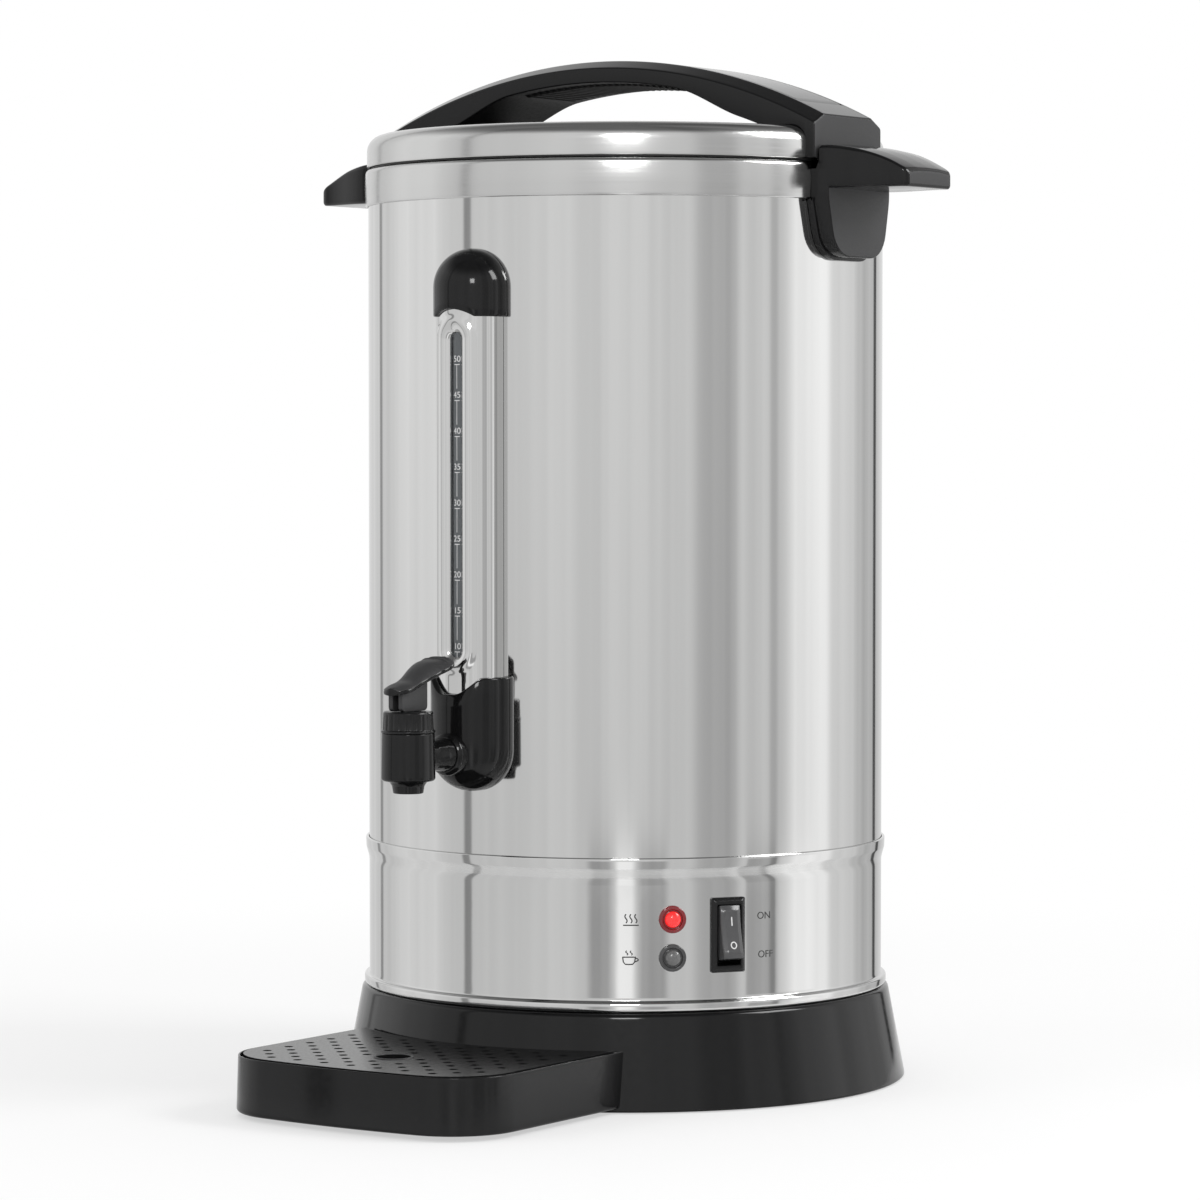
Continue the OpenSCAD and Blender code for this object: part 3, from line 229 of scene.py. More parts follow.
def piece(name, parts, body, finishes, stands_for=(), crease=CREASE, pick=None):
    """One object of the given parts, which rides on a body and may stand for CAD nodes."""
    shape = bmesh.new()
    for points, faces in parts:
        corners = [shape.verts.new(Vector(p) * MM) for p in points]
        for face in faces:
            shape.faces.new([corners[i] for i in face])
    bmesh.ops.remove_doubles(shape, verts=shape.verts, dist=WELD)
    bmesh.ops.dissolve_degenerate(shape, edges=shape.edges, dist=SLIVER)
    bmesh.ops.recalc_face_normals(shape, faces=shape.faces)
    mesh = bpy.data.meshes.new(name)
    shape.to_mesh(mesh)
    shape.free()
    mesh.shade_smooth()
    mesh.set_sharp_from_angle(angle=math.radians(crease))
    for finish in finishes if isinstance(finishes, list) else [finishes]:
        mesh.materials.append(finish)
    if pick:
        for face in mesh.polygons:
            face.material_index = pick(face.center / MM, face.normal)
    made = bpy.data.objects.new(name, mesh)
    bpy.context.scene.collection.objects.link(made)
    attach(made, body)
    if stands_for:
        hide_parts(*stands_for)
    return made


# Finishes
def surface(name, color, rough, spread=0.06, rough_spread=0.03, scale=(300, 300, 300), relief=0.0,
            depth=0.05, **more):
    """A finish whose colour, roughness and relief follow a fine noise. The relief's depth is in mm."""
    material = bpy.data.materials.new(name)
    material.use_nodes = True
    nodes, links = material.node_tree.nodes, material.node_tree.links
    shader = nodes["Principled BSDF"]
    for socket, value in more.items():
        shader.inputs[socket.replace("_", " ")].default_value = value
    place = nodes.new("ShaderNodeTexCoord")
    fit = nodes.new("ShaderNodeMapping")
    fit.inputs["Scale"].default_value = scale
    noise = nodes.new("ShaderNodeTexNoise")
    noise.inputs["Scale"].default_value = 1
    noise.inputs["Detail"].default_value = 4
    links.new(place.outputs["Object"], fit.inputs["Vector"])
    links.new(fit.outputs["Vector"], noise.inputs["Vector"])
    tint = nodes.new("ShaderNodeMix")
    tint.data_type = "RGBA"
    tint.inputs[6].default_value = [c * (1 - spread) for c in color] + [1]
    tint.inputs[7].default_value = [c * (1 + spread) for c in color] + [1]
    links.new(noise.outputs["Fac"], tint.inputs[0])
    links.new(tint.outputs[2], shader.inputs["Base Color"])
    gloss = nodes.new("ShaderNodeMapRange")
    gloss.inputs["From Min"].default_value = 0.3
    gloss.inputs["From Max"].default_value = 0.7
    gloss.inputs["To Min"].default_value = max(0.02, rough - rough_spread)
    gloss.inputs["To Max"].default_value = rough + rough_spread
    links.new(noise.outputs["Fac"], gloss.inputs["Value"])
    links.new(gloss.outputs["Result"], shader.inputs["Roughness"])
    if relief:
        bump = nodes.new("ShaderNodeBump")
        bump.inputs["Strength"].default_value = relief
        bump.inputs["Distance"].default_value = depth * MM
        links.new(noise.outputs["Fac"], bump.inputs["Height"])
        links.new(bump.outputs["Normal"], shader.inputs["Normal"])
    return material


STEEL = (0.66, 0.66, 0.655)
BLACK = (0.006, 0.006, 0.0063)
mirror = surface("mirror_steel", STEEL, 0.06, 0.02, 0.015, (90, 90, 9), 0.02, 0.2, Metallic=1)
rolled = surface("rolled_steel", STEEL, 0.06, 0.03, 0.015, (26, 26, 14), 0.12, 0.5, Metallic=1)
satin = surface("satin_steel", (0.62, 0.62, 0.615), 0.17, 0.03, 0.03, (9, 9, 1800), 0.05, 0.03, Metallic=1)
gloss = surface("gloss_black", BLACK, 0.1, 0.2, 0.03, (400, 400, 400), 0.03, 0.03, Specular_IOR_Level=0.31)
pearl = surface("satin_black", (0.008, 0.008, 0.0083), 0.22, 0.2, 0.04, (900, 900, 900), 0.08, 0.03,
                Specular_IOR_Level=0.32)
matte = surface("matte_black", (0.03, 0.03, 0.031), 0.5, 0.25, 0.06, (1500, 1500, 1500), 0.3, 0.04,
                Specular_IOR_Level=0.5)
# A rough black with weak shine for the arch's underside, made darker than the other blacks as painted shade
# for the shadow under the arch.
underside_shade = surface("underside_painted_shade", (0.004, 0.004, 0.0042), 0.5, 0.2, 0.05, (900, 900, 900), 0.1, 0.04,
               Specular_IOR_Level=0.15)
smoke = surface("smoked_plastic", (0.075, 0.075, 0.077), 0.2, 0.12, 0.03, (700, 700, 700), 0.05, 0.03)
rubber = surface("foot_rubber", (0.03, 0.03, 0.03), 0.7, 0.2, 0.06, (900, 900, 900), 0.3, 0.06)
silicone = surface("silicone", (0.05, 0.05, 0.05), 0.45, 0.04, 0.05, (500, 500, 500), 0.1, 0.04)
glass = surface("gauge_glass", (0.2, 0.215, 0.225), 0.08, 0.1, 0.03, (200, 200, 20),
                Transmission_Weight=0.5, IOR=1.47)
red_ring = surface("red_ring", (0.2, 0.012, 0.016), 0.14, 0.1, 0.03, (600, 600, 600), Coat_Weight=0.4)
red_glow = surface("red_glow", (0.75, 0.02, 0.02), 0.18, 0.08, 0.03, (600, 600, 600), Coat_Weight=0.4,
                   Emission_Color=(0.9, 0.03, 0.03, 1), Emission_Strength=0.55)
grey_ring = surface("grey_ring", (0.05, 0.05, 0.051), 0.16, 0.1, 0.03, (600, 600, 600), Coat_Weight=0.4)
grey_lens = surface("grey_lens", (0.13, 0.13, 0.13), 0.22, 0.25, 0.05, (2600, 2600, 2600), 0.2, 0.1,
                    Coat_Weight=0.4)
cast = surface("cast_aluminium", (0.6, 0.61, 0.62), 0.42, 0.06, 0.06, (240, 240, 240), 0.2, 0.1, Metallic=1)
bath = surface("bath_steel", (0.5, 0.5, 0.495), 0.4, 0.03, 0.05, (60, 60, 600), 0.08, 0.04, Metallic=0.4)
sheath = surface("element_steel", (0.3, 0.29, 0.28), 0.4, 0.12, 0.06, (120, 120, 120), 0.1, 0.05, Metallic=1)
phenolic = surface("sensor_plastic", (0.1, 0.06, 0.04), 0.5, 0.15, 0.06, (600, 600, 600), 0.1, 0.04)
zinc = surface("zinc_steel", (0.55, 0.56, 0.57), 0.33, 0.08, 0.06, (350, 350, 350), 0.1, 0.04, Metallic=1)
ivory = surface("ivory_plastic", (0.75, 0.73, 0.66), 0.4, 0.03, 0.05, (500, 500, 500), 0.05, 0.04)
insulation = surface("wire_skin", (0.45, 0.05, 0.03), 0.5, 0.08, 0.05, (800, 800, 800), 0.1, 0.04)
print_black = surface("print_black", (0.03, 0.03, 0.03), 0.45, 0.1, 0.05, (900, 900, 900))
print_white = surface("print_white", (0.72, 0.72, 0.72), 0.45, 0.04, 0.05, (900, 900, 900))

# Tank, casing, collar and lid
axis = upright(0, 0)


def inner_side(at, n):
    return int(at.x * n.x + at.y * n.y < 0)


bottom, top = tank_low.z, tank_high.z
tank_profile = rounded([
    (BODY_R - SHEET, bottom), (BODY_R, bottom, 0.3), (BODY_R, top, 0.5), (BODY_R - SHEET, top, 0.4)])
piece("tank_wall", [turned(tank_profile, axis, ROUND_STEPS)], "urn", [mirror, bath], ["tank_shell"],
      pick=inner_side)

bottom, top = casing_low.z, casing_high.z
bead_r, bead_h = BODY_R + 2.1, 4.2
rim_r, rim_h, flare_h = BODY_R + 1.3, 4.2, 9
switch_z, switch_reach = (switch_low.z + switch_high.z) / 2, 14.8
casing_profile = rounded([
    (BODY_R - SHEET, bottom), (bead_r, bottom, 2), (bead_r, bottom + bead_h, 2),
    (BODY_R, bottom + bead_h + 0.1, 0.9), (BODY_R, switch_z - switch_reach),
    (BODY_R, switch_z + switch_reach), (BODY_R, top - flare_h, 9),
    (rim_r, top - rim_h, 3), (rim_r + 0.15, top, 0.6), (BODY_R + SEAT, top, 0.3), (BODY_R + SEAT, top - 4),
    (BODY_R - SHEET, top - 8)])
casing = piece("casing_wall", [turned(casing_profile, axis, ROUND_STEPS)], "urn", rolled, ["lower_casing"])

bottom, top = collar_low.z, collar_high.z
collar_r, flange_r, flange_t = collar_high.x, collar_high.x - 4.7, 1.4
collar_profile = rounded([
    (BODY_R + 0.1, bottom, 0.4), (collar_r - 0.1, bottom, 2.4), (collar_r + 0.15, (bottom + top) / 2, 60),
    (collar_r - 0.1, top, 2.6), (flange_r, top, 0.5), (flange_r, top - flange_t, 0.3),
    (BODY_R + 0.1, top - flange_t, 0.5)])
piece("collar_band", [turned(collar_profile, axis, ROUND_STEPS)], "urn", satin, ["rim_collar"])

bottom, top, lid_r, lid_soft = lid_low.z, lid_high.z, lid_high.x, 7
lid_profile = rounded([
    (0, top), (lid_r - 22, top, 30), (lid_r, top, lid_soft), (lid_r, bottom, 0.6),
    (lid_r - SHEET, bottom, 0.4), (lid_r - SHEET, top - SHEET, lid_soft - SHEET), (0, top - SHEET)],
    closed=False)
piece("lid_shell", [turned(lid_profile, axis, ROUND_STEPS, closed=False)], "lid", satin, ["lid_cover"])


# Lid handle: slices across an arch, which rest on the lid at both ends
def lid_surface(x, y):
    """The height of the lid, or of the handle's ends where they pass it, under a point."""
    r = math.hypot(x, y)
    if r > lid_r + 0.05:
        return arch_low.z
    edge = lid_r - lid_soft
    if r < edge:
        return lid_high.z + 0.1
    return lid_high.z - lid_soft + math.sqrt(max(0, lid_soft ** 2 - (r - edge) ** 2)) + 0.1


arch_half, arch_w, arch_t = arch_high.x, arch_high.y, 9.5
end_top = lid_high.z + 4.6
rise = arch_high.z - end_top
arch_r = (arch_half ** 2 + rise ** 2) / (2 * rise)
arch_z = arch_high.z - arch_r
bevel_w, bevel_h, block, panel_w = 7.5, 3.4, 20, panel_high.y + 0.15
panel_end, panel_t = panel_high.x + 0.15, 1.4
rib_gap, rib_zone, rib_out = 3.2, 40, 0.9
heel_drop, heel_from, heel_to = 4.8, 42, 74


def arch_at(x, drop):
    return arch_z + math.sqrt((arch_r - drop) ** 2 - x * x)


def arch_under(x, y):
    if abs(x) > arch_half - block:
        return lid_surface(x, y)
    z = arch_at(x, arch_t + heel_drop * smoothstep(heel_from, heel_to, abs(x)))
    if abs(x) < rib_zone and abs(y) < arch_w - 8:
        z -= rib_out * smoothstep(0.35, 0.75, 0.5 + 0.5 * math.cos(2 * math.pi * x / rib_gap))
    return max(z, lid_surface(x, y))


arch_profile = rounded([
    (arch_w, arch_t), (arch_w, bevel_h, 1.1), (arch_w - bevel_w, 0, 1.1), (panel_w, 0, 0.3),
    (panel_w, panel_t, 0.15), (-panel_w, panel_t, 0.15), (-panel_w, 0, 0.3), (bevel_w - arch_w, 0, 1.1),
    (-arch_w, bevel_h, 1.1), (-arch_w, arch_t)], closed=False)
arch_soft = 0.7
rim_y = [arch_w - arch_soft * (1 - math.sin(math.pi / 2 * k / 3)) for k in range(3, 0, -1)]
flat_y = [(arch_w - arch_soft) * (k / 15 - 1) for k in range(31)]
under_y = [-y for y in rim_y] + flat_y + rim_y[::-1]
stations = [-arch_half + arch_soft * (1 - math.cos(math.pi / 2 * k / 4)) for k in range(5)]
x = -arch_half + arch_soft
while x < arch_half - arch_soft:
    stations.append(x)
    x += 0.4 if abs(x) < rib_zone or abs(x) > arch_half - 10 else 1.5
for edge in (panel_end, arch_half - block):
    stations += [-edge - 0.01, -edge + 0.01, edge - 0.01, edge + 0.01]
stations = sorted(stations + [arch_half - arch_soft * (1 - math.cos(math.pi / 2 * k / 4)) for k in range(5)])
rings = []
for x in stations:
    short = max(0, abs(x) - arch_half + arch_soft)
    shrink = arch_soft - math.sqrt(max(0, arch_soft ** 2 - short ** 2))
    slim = 1 - shrink / arch_w
    ring = []
    for y, drop in arch_profile[1:-1]:
        if abs(y) < panel_w + 0.05 and abs(x) > panel_end:
            drop = 0
        ring.append((x, y * slim, arch_at(x, drop) - shrink))
    for y in under_y:
        edge = max(0, abs(y) - arch_w + arch_soft)
        z = arch_under(x, y * slim) + arch_soft - math.sqrt(arch_soft ** 2 - edge ** 2)
        ring.append((x, y * slim, min(z, arch_at(x, bevel_h) - 1)))
    rings.append(ring)


def arch_finish(at, n):
    """Matte ends, an underside darkened as painted shade with its shine cut down, a glossy top and satin
    sides.
    """
    if abs(n.x) > 0.9 and abs(at.x) > arch_half - 2:
        return 1
    return 2 if n.z < -0.3 else 3 if n.z > 0.3 else 0


piece("arch_handle", [loft(rings, ends=True)], "lid", [pearl, matte, underside_shade, gloss], ["lid_handle"],
      pick=arch_finish)

plate = rounded([(panel_high.y, panel_t - 0.05), (panel_high.y, 0, 0.4), (-panel_high.y, 0, 0.4),
                 (-panel_high.y, panel_t - 0.05)])
panel_steps = 90
rings = []
for k in range(panel_steps + 1):
    x = panel_high.x * (2 * k / panel_steps - 1)
    dip = 0.35 if k in (0, panel_steps) else 0
    rings.append([(x, y, arch_at(x, drop + dip * (drop < 0.3))) for y, drop in plate])
piece("arch_panel", [loft(rings, ends=True)], "lid", gloss, ["lid_handle_panel"])


# Side handles
def seat_x(y, z):
    """Where the right handle meets the body, the collar or the lid's path."""
    least = BODY_R + SEAT
    if z > collar_high.z:
        least = math.hypot(arch_half, arch_w) + 0.6
    elif z > collar_low.z - SEAT:
        least = collar_r + SEAT
    return math.sqrt(least ** 2 - y * y)


tip, grip_w, tip_w, grip_t, tongue_h = grip_high.x, grip_high.y, 19, 18.5, 28
grip_top, grip_base = grip_high.z, grip_high.z - grip_t
grip_run, grip_drop, tip_r, tip_soft = 37, 10.5, 4, 1.6
waist, crown_x = BODY_R + 12, BODY_R + 3
drop_r = (grip_run ** 2 + grip_drop ** 2) / (2 * grip_drop)


def grip_half(x):
    t = min(1, max(0, (x - waist) / (tip - 5 - waist)))
    width = tip_w + (grip_w - tip_w) * (1 + math.cos(t * math.radians(168))) / 2
    corner = max(0, x - tip + tip_r)
    return width - tip_r + math.sqrt(max(0, tip_r ** 2 - corner ** 2))


def grip_crown(x):
    return grip_top - drop_r + math.sqrt(drop_r ** 2 - max(0, x - crown_x) ** 2)


def grip_section(x):
    short = max(0, x - tip + tip_soft)
    shrink = tip_soft - math.sqrt(max(0, tip_soft ** 2 - short ** 2))
    w, high, low, bow = grip_half(x), grip_crown(x) - shrink, grip_base + shrink, 0.9
    seam = min(collar_high.z, high - bow - 3)
    side = [(w, low, 1.8), (w, seam - 0.2), (w, seam + 0.2), (w, high - bow, 2.2),
            (0.5 * w, high - bow * 0.2, 30)]
    return rounded(side + [(0, high, 60)] + [(-y, z, *soft) for y, z, *soft in reversed(side)], flat=False)


root_x = math.hypot(arch_half, arch_w) + 1
stations = [root_x + (tip - tip_r - root_x) * k / 34 for k in range(34)]
stations += [tip - tip_r + tip_r * math.sin(math.pi / 2 * k / 10) for k in range(11)]
rings = [[(seat_x(y, z), y, z) for y, z in grip_section(root_x)]]
rings += [[(x, y, z) for y, z in grip_section(x)] for x in stations]
grip = loft(rings, ends=True)


def plate_on_body(outline, front, soft):
    """A plate from the body out to a front that is a function of y, with its front edge rounded."""
    rings = [[(seat_x(y, z), y, z) for y, z in outline]]
    for k in range(5):
        a = math.pi / 2 * k / 4
        drawn = inset(outline, soft * (1 - math.cos(a)))
        rings.append([(front(y) - soft + soft * math.sin(a), y, z) for y, z in drawn])
    return loft(rings, ends=True)


def shield(w, top, low_w, low, soft):
    """A tongue's outline, which narrows below the grip."""
    neck = grip_base - 4
    return rounded([(w, top), (w, neck, 25), (low_w, low, soft), (-low_w, low, soft), (-w, neck, 25),
                    (-w, top)])


tongue_x, tongue_low = BODY_R + 8, grip_base - tongue_h
tongue = plate_on_body(shield(grip_w + 0.06, grip_base + 8, grip_w - 5.5, tongue_low, 13),
                       lambda y: tongue_x - 0.0016 * y * y, 0.9)
flange = plate_on_body(shield(grip_w + 1, collar_low.z - 0.4, grip_w - 4.4, tongue_low - 1.2, 14),
                       lambda y: seat_x(y, 0) + 2.6, 0.5)


def matte_ends(at, n):
    out = abs(at.x)
    on_tongue = tongue_x - 1.3 < out < tongue_x + 0.1 and at.z < grip_base
    return int(abs(n.x) > 0.94 and (out > tip - 2 or on_tongue))


handle = [grip, tongue, flange]
piece("grip_right", handle, "urn", [gloss, matte], ["handle_right"], pick=matte_ends)
piece("grip_left", [moved(part, lambda p: Vector((-p.x, -p.y, p.z))) for part in handle], "urn",
      [gloss, matte], ["handle_left"], pick=matte_ends)

# Gauge guard: a folded sheet with a dished slot
guard_w, guard_round, front = guard_high.x, 12, BODY_R + 14.6
flat, bend = guard_w - guard_round, guard_round * math.pi / 2
side_end = -math.sqrt((BODY_R + SEAT) ** 2 - guard_w ** 2)
girth = flat + bend + side_end + front - guard_round
slot_r, slot_low, slot_high = 3, guard_low.z + 22.3, guard_high.z - 14.2
dish, dish_in, rim_lift, rim_fade = 4.6, 1.9, 0.55, 3
fringe, lip_in = 8, 1.6


def guard_point(s, lift):
    """A point of the guard's section, at a length from its middle and a height off the sheet."""
    if s < flat:
        x, y, nx, ny = s, -front, 0, -1
    elif s < flat + bend:
        a = (s - flat) / guard_round
        nx, ny = math.sin(a), -math.cos(a)
        x, y = flat + guard_round * nx, guard_round - front + guard_round * ny
    else:
        x, y, nx, ny = guard_w, guard_round - front + s - flat - bend, 1, 0
    return x + nx * lift, y + ny * lift


def off_slot(z):
    """How far a height lies beyond the slot's straight part."""
    return z - min(max(z, slot_low + slot_r), slot_high - slot_r)


def dished(s, z):
    """The sheet's height: a dish at the slot, with a raised rim round it."""
    d = math.hypot(s, off_slot(z)) - slot_r
    if d > dish:
        return rim_lift * (1 - smoothstep(dish, dish + rim_fade, d))
    return rim_lift - (rim_lift + dish_in) * (1 - max(d, 0) / dish) ** 2


rows = [guard_low.z, slot_low - fringe]
rows += [slot_low - fringe + 0.5 * k for k in range(1, 16)]
rows += [slot_low + slot_r * (1 - math.cos(math.pi / 2 * k / 10)) for k in range(11)]
rows += [slot_low + slot_r + k for k in range(1, 6)]
middle = (slot_low + slot_high) / 2
rows = rows + [middle] + [2 * middle - z for z in reversed(rows[1:])] + [guard_high.z]
columns = [(k / 36) ** 1.5 for k in range(37)]
rings = []
for z in rows:
    open_half = math.sqrt(max(0, slot_r ** 2 - off_slot(z) ** 2))
    lengths = [open_half * (1 - c) ** 8 + girth * c for c in columns]
    lip = lip_in if open_half > 0 else 0
    run = [guard_point(open_half, dished(open_half, z) - lip)]
    run += [guard_point(s, dished(s, z)) for s in lengths]
    rings.append([(-x, y, z) for x, y in reversed(run)] + [(x, y, z) for x, y in run])
points, faces = loft(rings, wrap=False)
count = len(rings[0])
open_rows = {i for i, z in enumerate(rows) if slot_low < z < slot_high}
faces = [f for f in faces if not (f[0] % count == count // 2 - 1
                                  and (f[0] // count in open_rows or f[2] // count in open_rows))]
piece("guard_sheet", [(points, faces)], "urn", mirror, ["gauge_guard"], crease=50)


# Gauge cap and pod: turned shells that sit on the body
def on_body(point):
    """A point that lies inside the body, brought out to its front."""
    least = BODY_R + SEAT
    if math.hypot(point.x, point.y) < least and abs(point.x) < least:
        point.y = -math.sqrt(least ** 2 - point.x ** 2)
    return point


cap_r, cap_y = cap_high.x, cap_low.y + cap_high.x
cap_edge, shoulder = cap_low.z, cap_high.z - cap_r
brow_r, brow_drop, brow_end, shell_steps = 18, 15, 0.78, 144
rings = []
for k in range(shell_steps):
    a = 2 * math.pi * k / shell_steps
    x = cap_r * math.sin(a)
    edge = cap_edge
    if math.cos(a) > brow_end:
        edge = max(edge, cap_edge - brow_drop + math.sqrt(brow_r ** 2 - x * x))
    run = [(cap_r - 2.3, edge + 7), (cap_r - 2.3, edge + 0.5), (cap_r - 1.8, edge), (cap_r - 0.7, edge),
           (cap_r - 0.2, edge + 0.2), (cap_r, edge + 0.7)]
    run += [(cap_r, edge + 0.7 + (shoulder - edge - 0.7) * i / 4) for i in range(1, 5)]
    run += [(cap_r * math.cos(math.pi / 2 * i / 18), shoulder + cap_r * math.sin(math.pi / 2 * i / 18))
            for i in range(1, 19)]
    rings.append([upright(0, cap_y)(r, h, a) for r, h in run])
piece("gauge_top_cap", [moved(loft(rings, wrap=False, loop=True), on_body)], "urn", gloss, ["gauge_cap"],
      crease=60)

pod_r, tap_z = pod_high.x, pod_low.z + 16
boss_out = front + 4.1
pod_y, ball_z, pod_top = pod_r - boss_out, pod_low.z + pod_r, pod_high.z + 1.1
scoop_deep, scoop_from, scoop_to = 6.7, math.radians(8), math.radians(56)


def guard_reach(a):
    """Distance from the pod's axis to the guard's outside, at an angle from the front."""
    s, c = math.sin(a), math.cos(a)
    r = pod_r
    while r > 5:
        x, y = abs(r * s), pod_y - r * c
        corner = math.hypot(max(0, x - flat), max(0, guard_round - front - y))
        if x < guard_w + SEAT and corner < guard_round + SEAT:
            break
        r -= 0.1
    return r


rings = []
for k in range(shell_steps):
    a = 2 * math.pi * k / shell_steps
    edge = pod_top - scoop_deep * (1 - smoothstep(scoop_from, scoop_to, min(a, 2 * math.pi - a)))
    inner = guard_reach(a)
    run = [(pod_r * math.sin(math.pi / 2 * i / 18), ball_z - pod_r * math.cos(math.pi / 2 * i / 18))
           for i in range(19)]
    run += [(pod_r, ball_z + (edge - 0.6 - ball_z) * i / 5) for i in range(1, 6)]
    run += [(pod_r - 0.2, edge - 0.2), (pod_r - 0.6, edge), (inner + 0.4, edge), (inner, edge - 0.4),
            (inner, edge - 7)]
    rings.append([upright(0, pod_y)(r, h, a) for r, h in run])
pod_shell = moved(loft(rings, wrap=False, loop=True), on_body)
spout = outward(0, tap_z)
boss = turned(rounded([(5.7, boss_out - 7), (9, boss_out - 7), (8.6, boss_out + 1.6, 1.6),
                       (7.2, boss_out + 2.8, 0.8), (5.7, boss_out + 2.8)]), spout, 96)
piece("gauge_foot_pod", [pod_shell, boss], "urn", gloss, ["gauge_pod"], crease=60)

# Tap
tap_r, outlet_r, chamber_r, bore_r, shank_r = 11, 4.5, 8, 3.4, 5.8
tap_y, tap_top, nozzle_z, seat_z = tap_low.y + tap_r, tap_high.z, tap_low.z, tap_z - 4
stand = upright(0, tap_y)
barrel = turned(rounded([
    (outlet_r, nozzle_z, 0.4), (6.1, nozzle_z, 0.5), (6.6, nozzle_z + 3, 1), (7.4, nozzle_z + 4.2, 0.4),
    (8.2, nozzle_z + 5, 0.5), (tap_r, nozzle_z + 5, 2.2), (tap_r - 0.1, tap_z, 40),
    (tap_r - 0.3, tap_top, 0.4), (chamber_r, tap_top, 0.2), (chamber_r, seat_z), (outlet_r, seat_z)]),
    stand, 128)
shank_start, shank_end, collar_at = -tap_high.y, -tap_y - 7, boss_out + 2.9
shank = turned(rounded([
    (bore_r, shank_start), (5.5, shank_start, 0.6), (5.5, collar_at - 0.2), (6.9, collar_at, 0.4),
    (6.3, collar_at + 4, 8), (shank_r, collar_at + 9, 10), (shank_r, shank_end), (bore_r, shank_end)]),
    spout, 96)
piece("tap_barrel", [barrel, shank], "urn", gloss, ["tap_body"])

bonnet_r, foot_z, head_z = 10.4, tap_top + 0.1, bonnet_high.z
flutes, flute_deep = 20, 0.28
bonnet_profile = rounded([
    (3.1, foot_z - 4.8), (7.8, foot_z - 4.8), (7.8, foot_z), (bonnet_r + 0.6, foot_z, 0.4),
    (bonnet_r + 0.6, foot_z + 1, 0.4), (bonnet_r, foot_z + 1.2, 0.2), (bonnet_r - 0.1, foot_z + 1.6),
    (bonnet_r - 0.35, head_z - 1.2), (bonnet_r - 0.2, head_z - 0.7, 0.3), (bonnet_r - 0.6, head_z, 0.5),
    (3.1, head_z, 0.2)])
rings = []
for k in range(flutes * 10):
    a = 2 * math.pi * k / (flutes * 10)
    groove = flute_deep * max(0, math.cos(flutes * a)) ** 2
    ring = []
    for r, h in bonnet_profile:
        fluted = r > 9 and foot_z + 1.3 < h < head_z - 1
        ring.append(stand(r - groove if fluted else r, h, a))
    rings.append(ring)
piece("tap_ring", [loft(rings, loop=True)], "urn", pearl, ["tap_bonnet"], crease=50)

# Lever: a crowned paddle on a forked block
pin_z = (pin_low.z + pin_high.z) / 2
nose, nose_r, thumb, thumb_r = -12, 6.5, 25, 9.5
length, slope, ribs_y = thumb - nose, math.tan(math.radians(17)), (17.5, 20.4)
cheek_in, cheek_out = 1.4, 3.6


def hump(value, middle, width):
    return math.exp(-((value - middle) / width) ** 2)


def lever_half(y):
    nose_y = nose + nose_r
    if y < nose_y:
        return math.sqrt(max(0.01, nose_r ** 2 - (y - nose_y) ** 2))
    if y > thumb - thumb_r - 4:
        return math.sqrt(max(0.01, thumb_r ** 2 - (y - thumb + thumb_r) ** 2))
    return nose_r - 0.5 * smoothstep(nose_y, 3, y) + 2.6 * smoothstep(0, 13, y)


def lever_under(y):
    s = (y - nose) / length
    return 2.3 + length * slope * (s - 0.06 * math.sin(2 * math.pi * s))


def lever_swell(y):
    s = (y - nose) / length
    return 1.3 * math.sin(math.pi * s) - hump(s, 0.3, 0.1) + 0.9 * hump(s, 0.58, 0.16)


def lever_rib(y, t):
    ridge = sum(hump(y, rib_y, 0.5) for rib_y in ribs_y)
    return 0.55 * ridge * (1 - smoothstep(0.5, 0.75, abs(t)))


rings = []
for k in range(141):
    y = nose + length * (1 - math.cos(math.pi * k / 140)) / 2
    w, u = lever_half(y), lever_under(y)
    tight = min(1, w / 1.5)
    crown = (1.3 + lever_swell(y)) * tight
    ring = [(0.5 * tight - w, u), (w - 0.5 * tight, u), (w - 0.12 * tight, u + 0.15), (w, u + 0.5),
            (w, u + 1.1), (w - 0.15 * tight, u + 1.5)]
    for i in range(25):
        t = 1 - i / 12
        ring.append((0.96 * w * t, u + 1.7 + crown * (1 - abs(t) ** 2.6) + lever_rib(y, 0.96 * t)))
    ring += [(0.15 * tight - w, u + 1.5), (-w, u + 1.1), (-w, u + 0.5), (0.12 * tight - w, u + 0.15)]
    rings.append([(x, tap_y + y, pin_z + z) for x, z in ring])
paddle = loft(rings, ends=True)
block_low, block_end, bridge_end, sunk = -4.35, 8.4, 5, 0.8
block_top = lever_under(block_end) + sunk
cheek = rounded([(-block_end, lever_under(-block_end) + sunk), (-block_end, block_low, 2),
                 (block_end, block_low, 2), (block_end, block_top)])
bridge = rounded([(bridge_end, lever_under(bridge_end) + sunk), (bridge_end, block_low),
                  (block_end, block_low, 2), (block_end, block_top)])


def on_lever(y, z, x):
    return x, tap_y + y, pin_z + z


fork = [slab(cheek, cheek_in, cheek_out, 0.35, on_lever), slab(cheek, -cheek_out, -cheek_in, 0.35, on_lever),
        slab(bridge, -1.5, 1.5, 0.1, on_lever)]


# The paddle's up-facing faces take the lighter, rougher matte black. This is partly a rougher top and partly
# a painted sheen for the light from above. The fork under the paddle is matte too.
def matte_lever(at, n):
    over = at.z - pin_z - lever_under(at.y - tap_y)
    return int(over > 1.5 and n.z > 0.4 or over < -0.05 and abs(at.x) < cheek_out + 0.1)


piece("lever_paddle", [paddle] + fork, "lever", [gloss, matte], ["tap_lever"],
      pick=matte_lever)

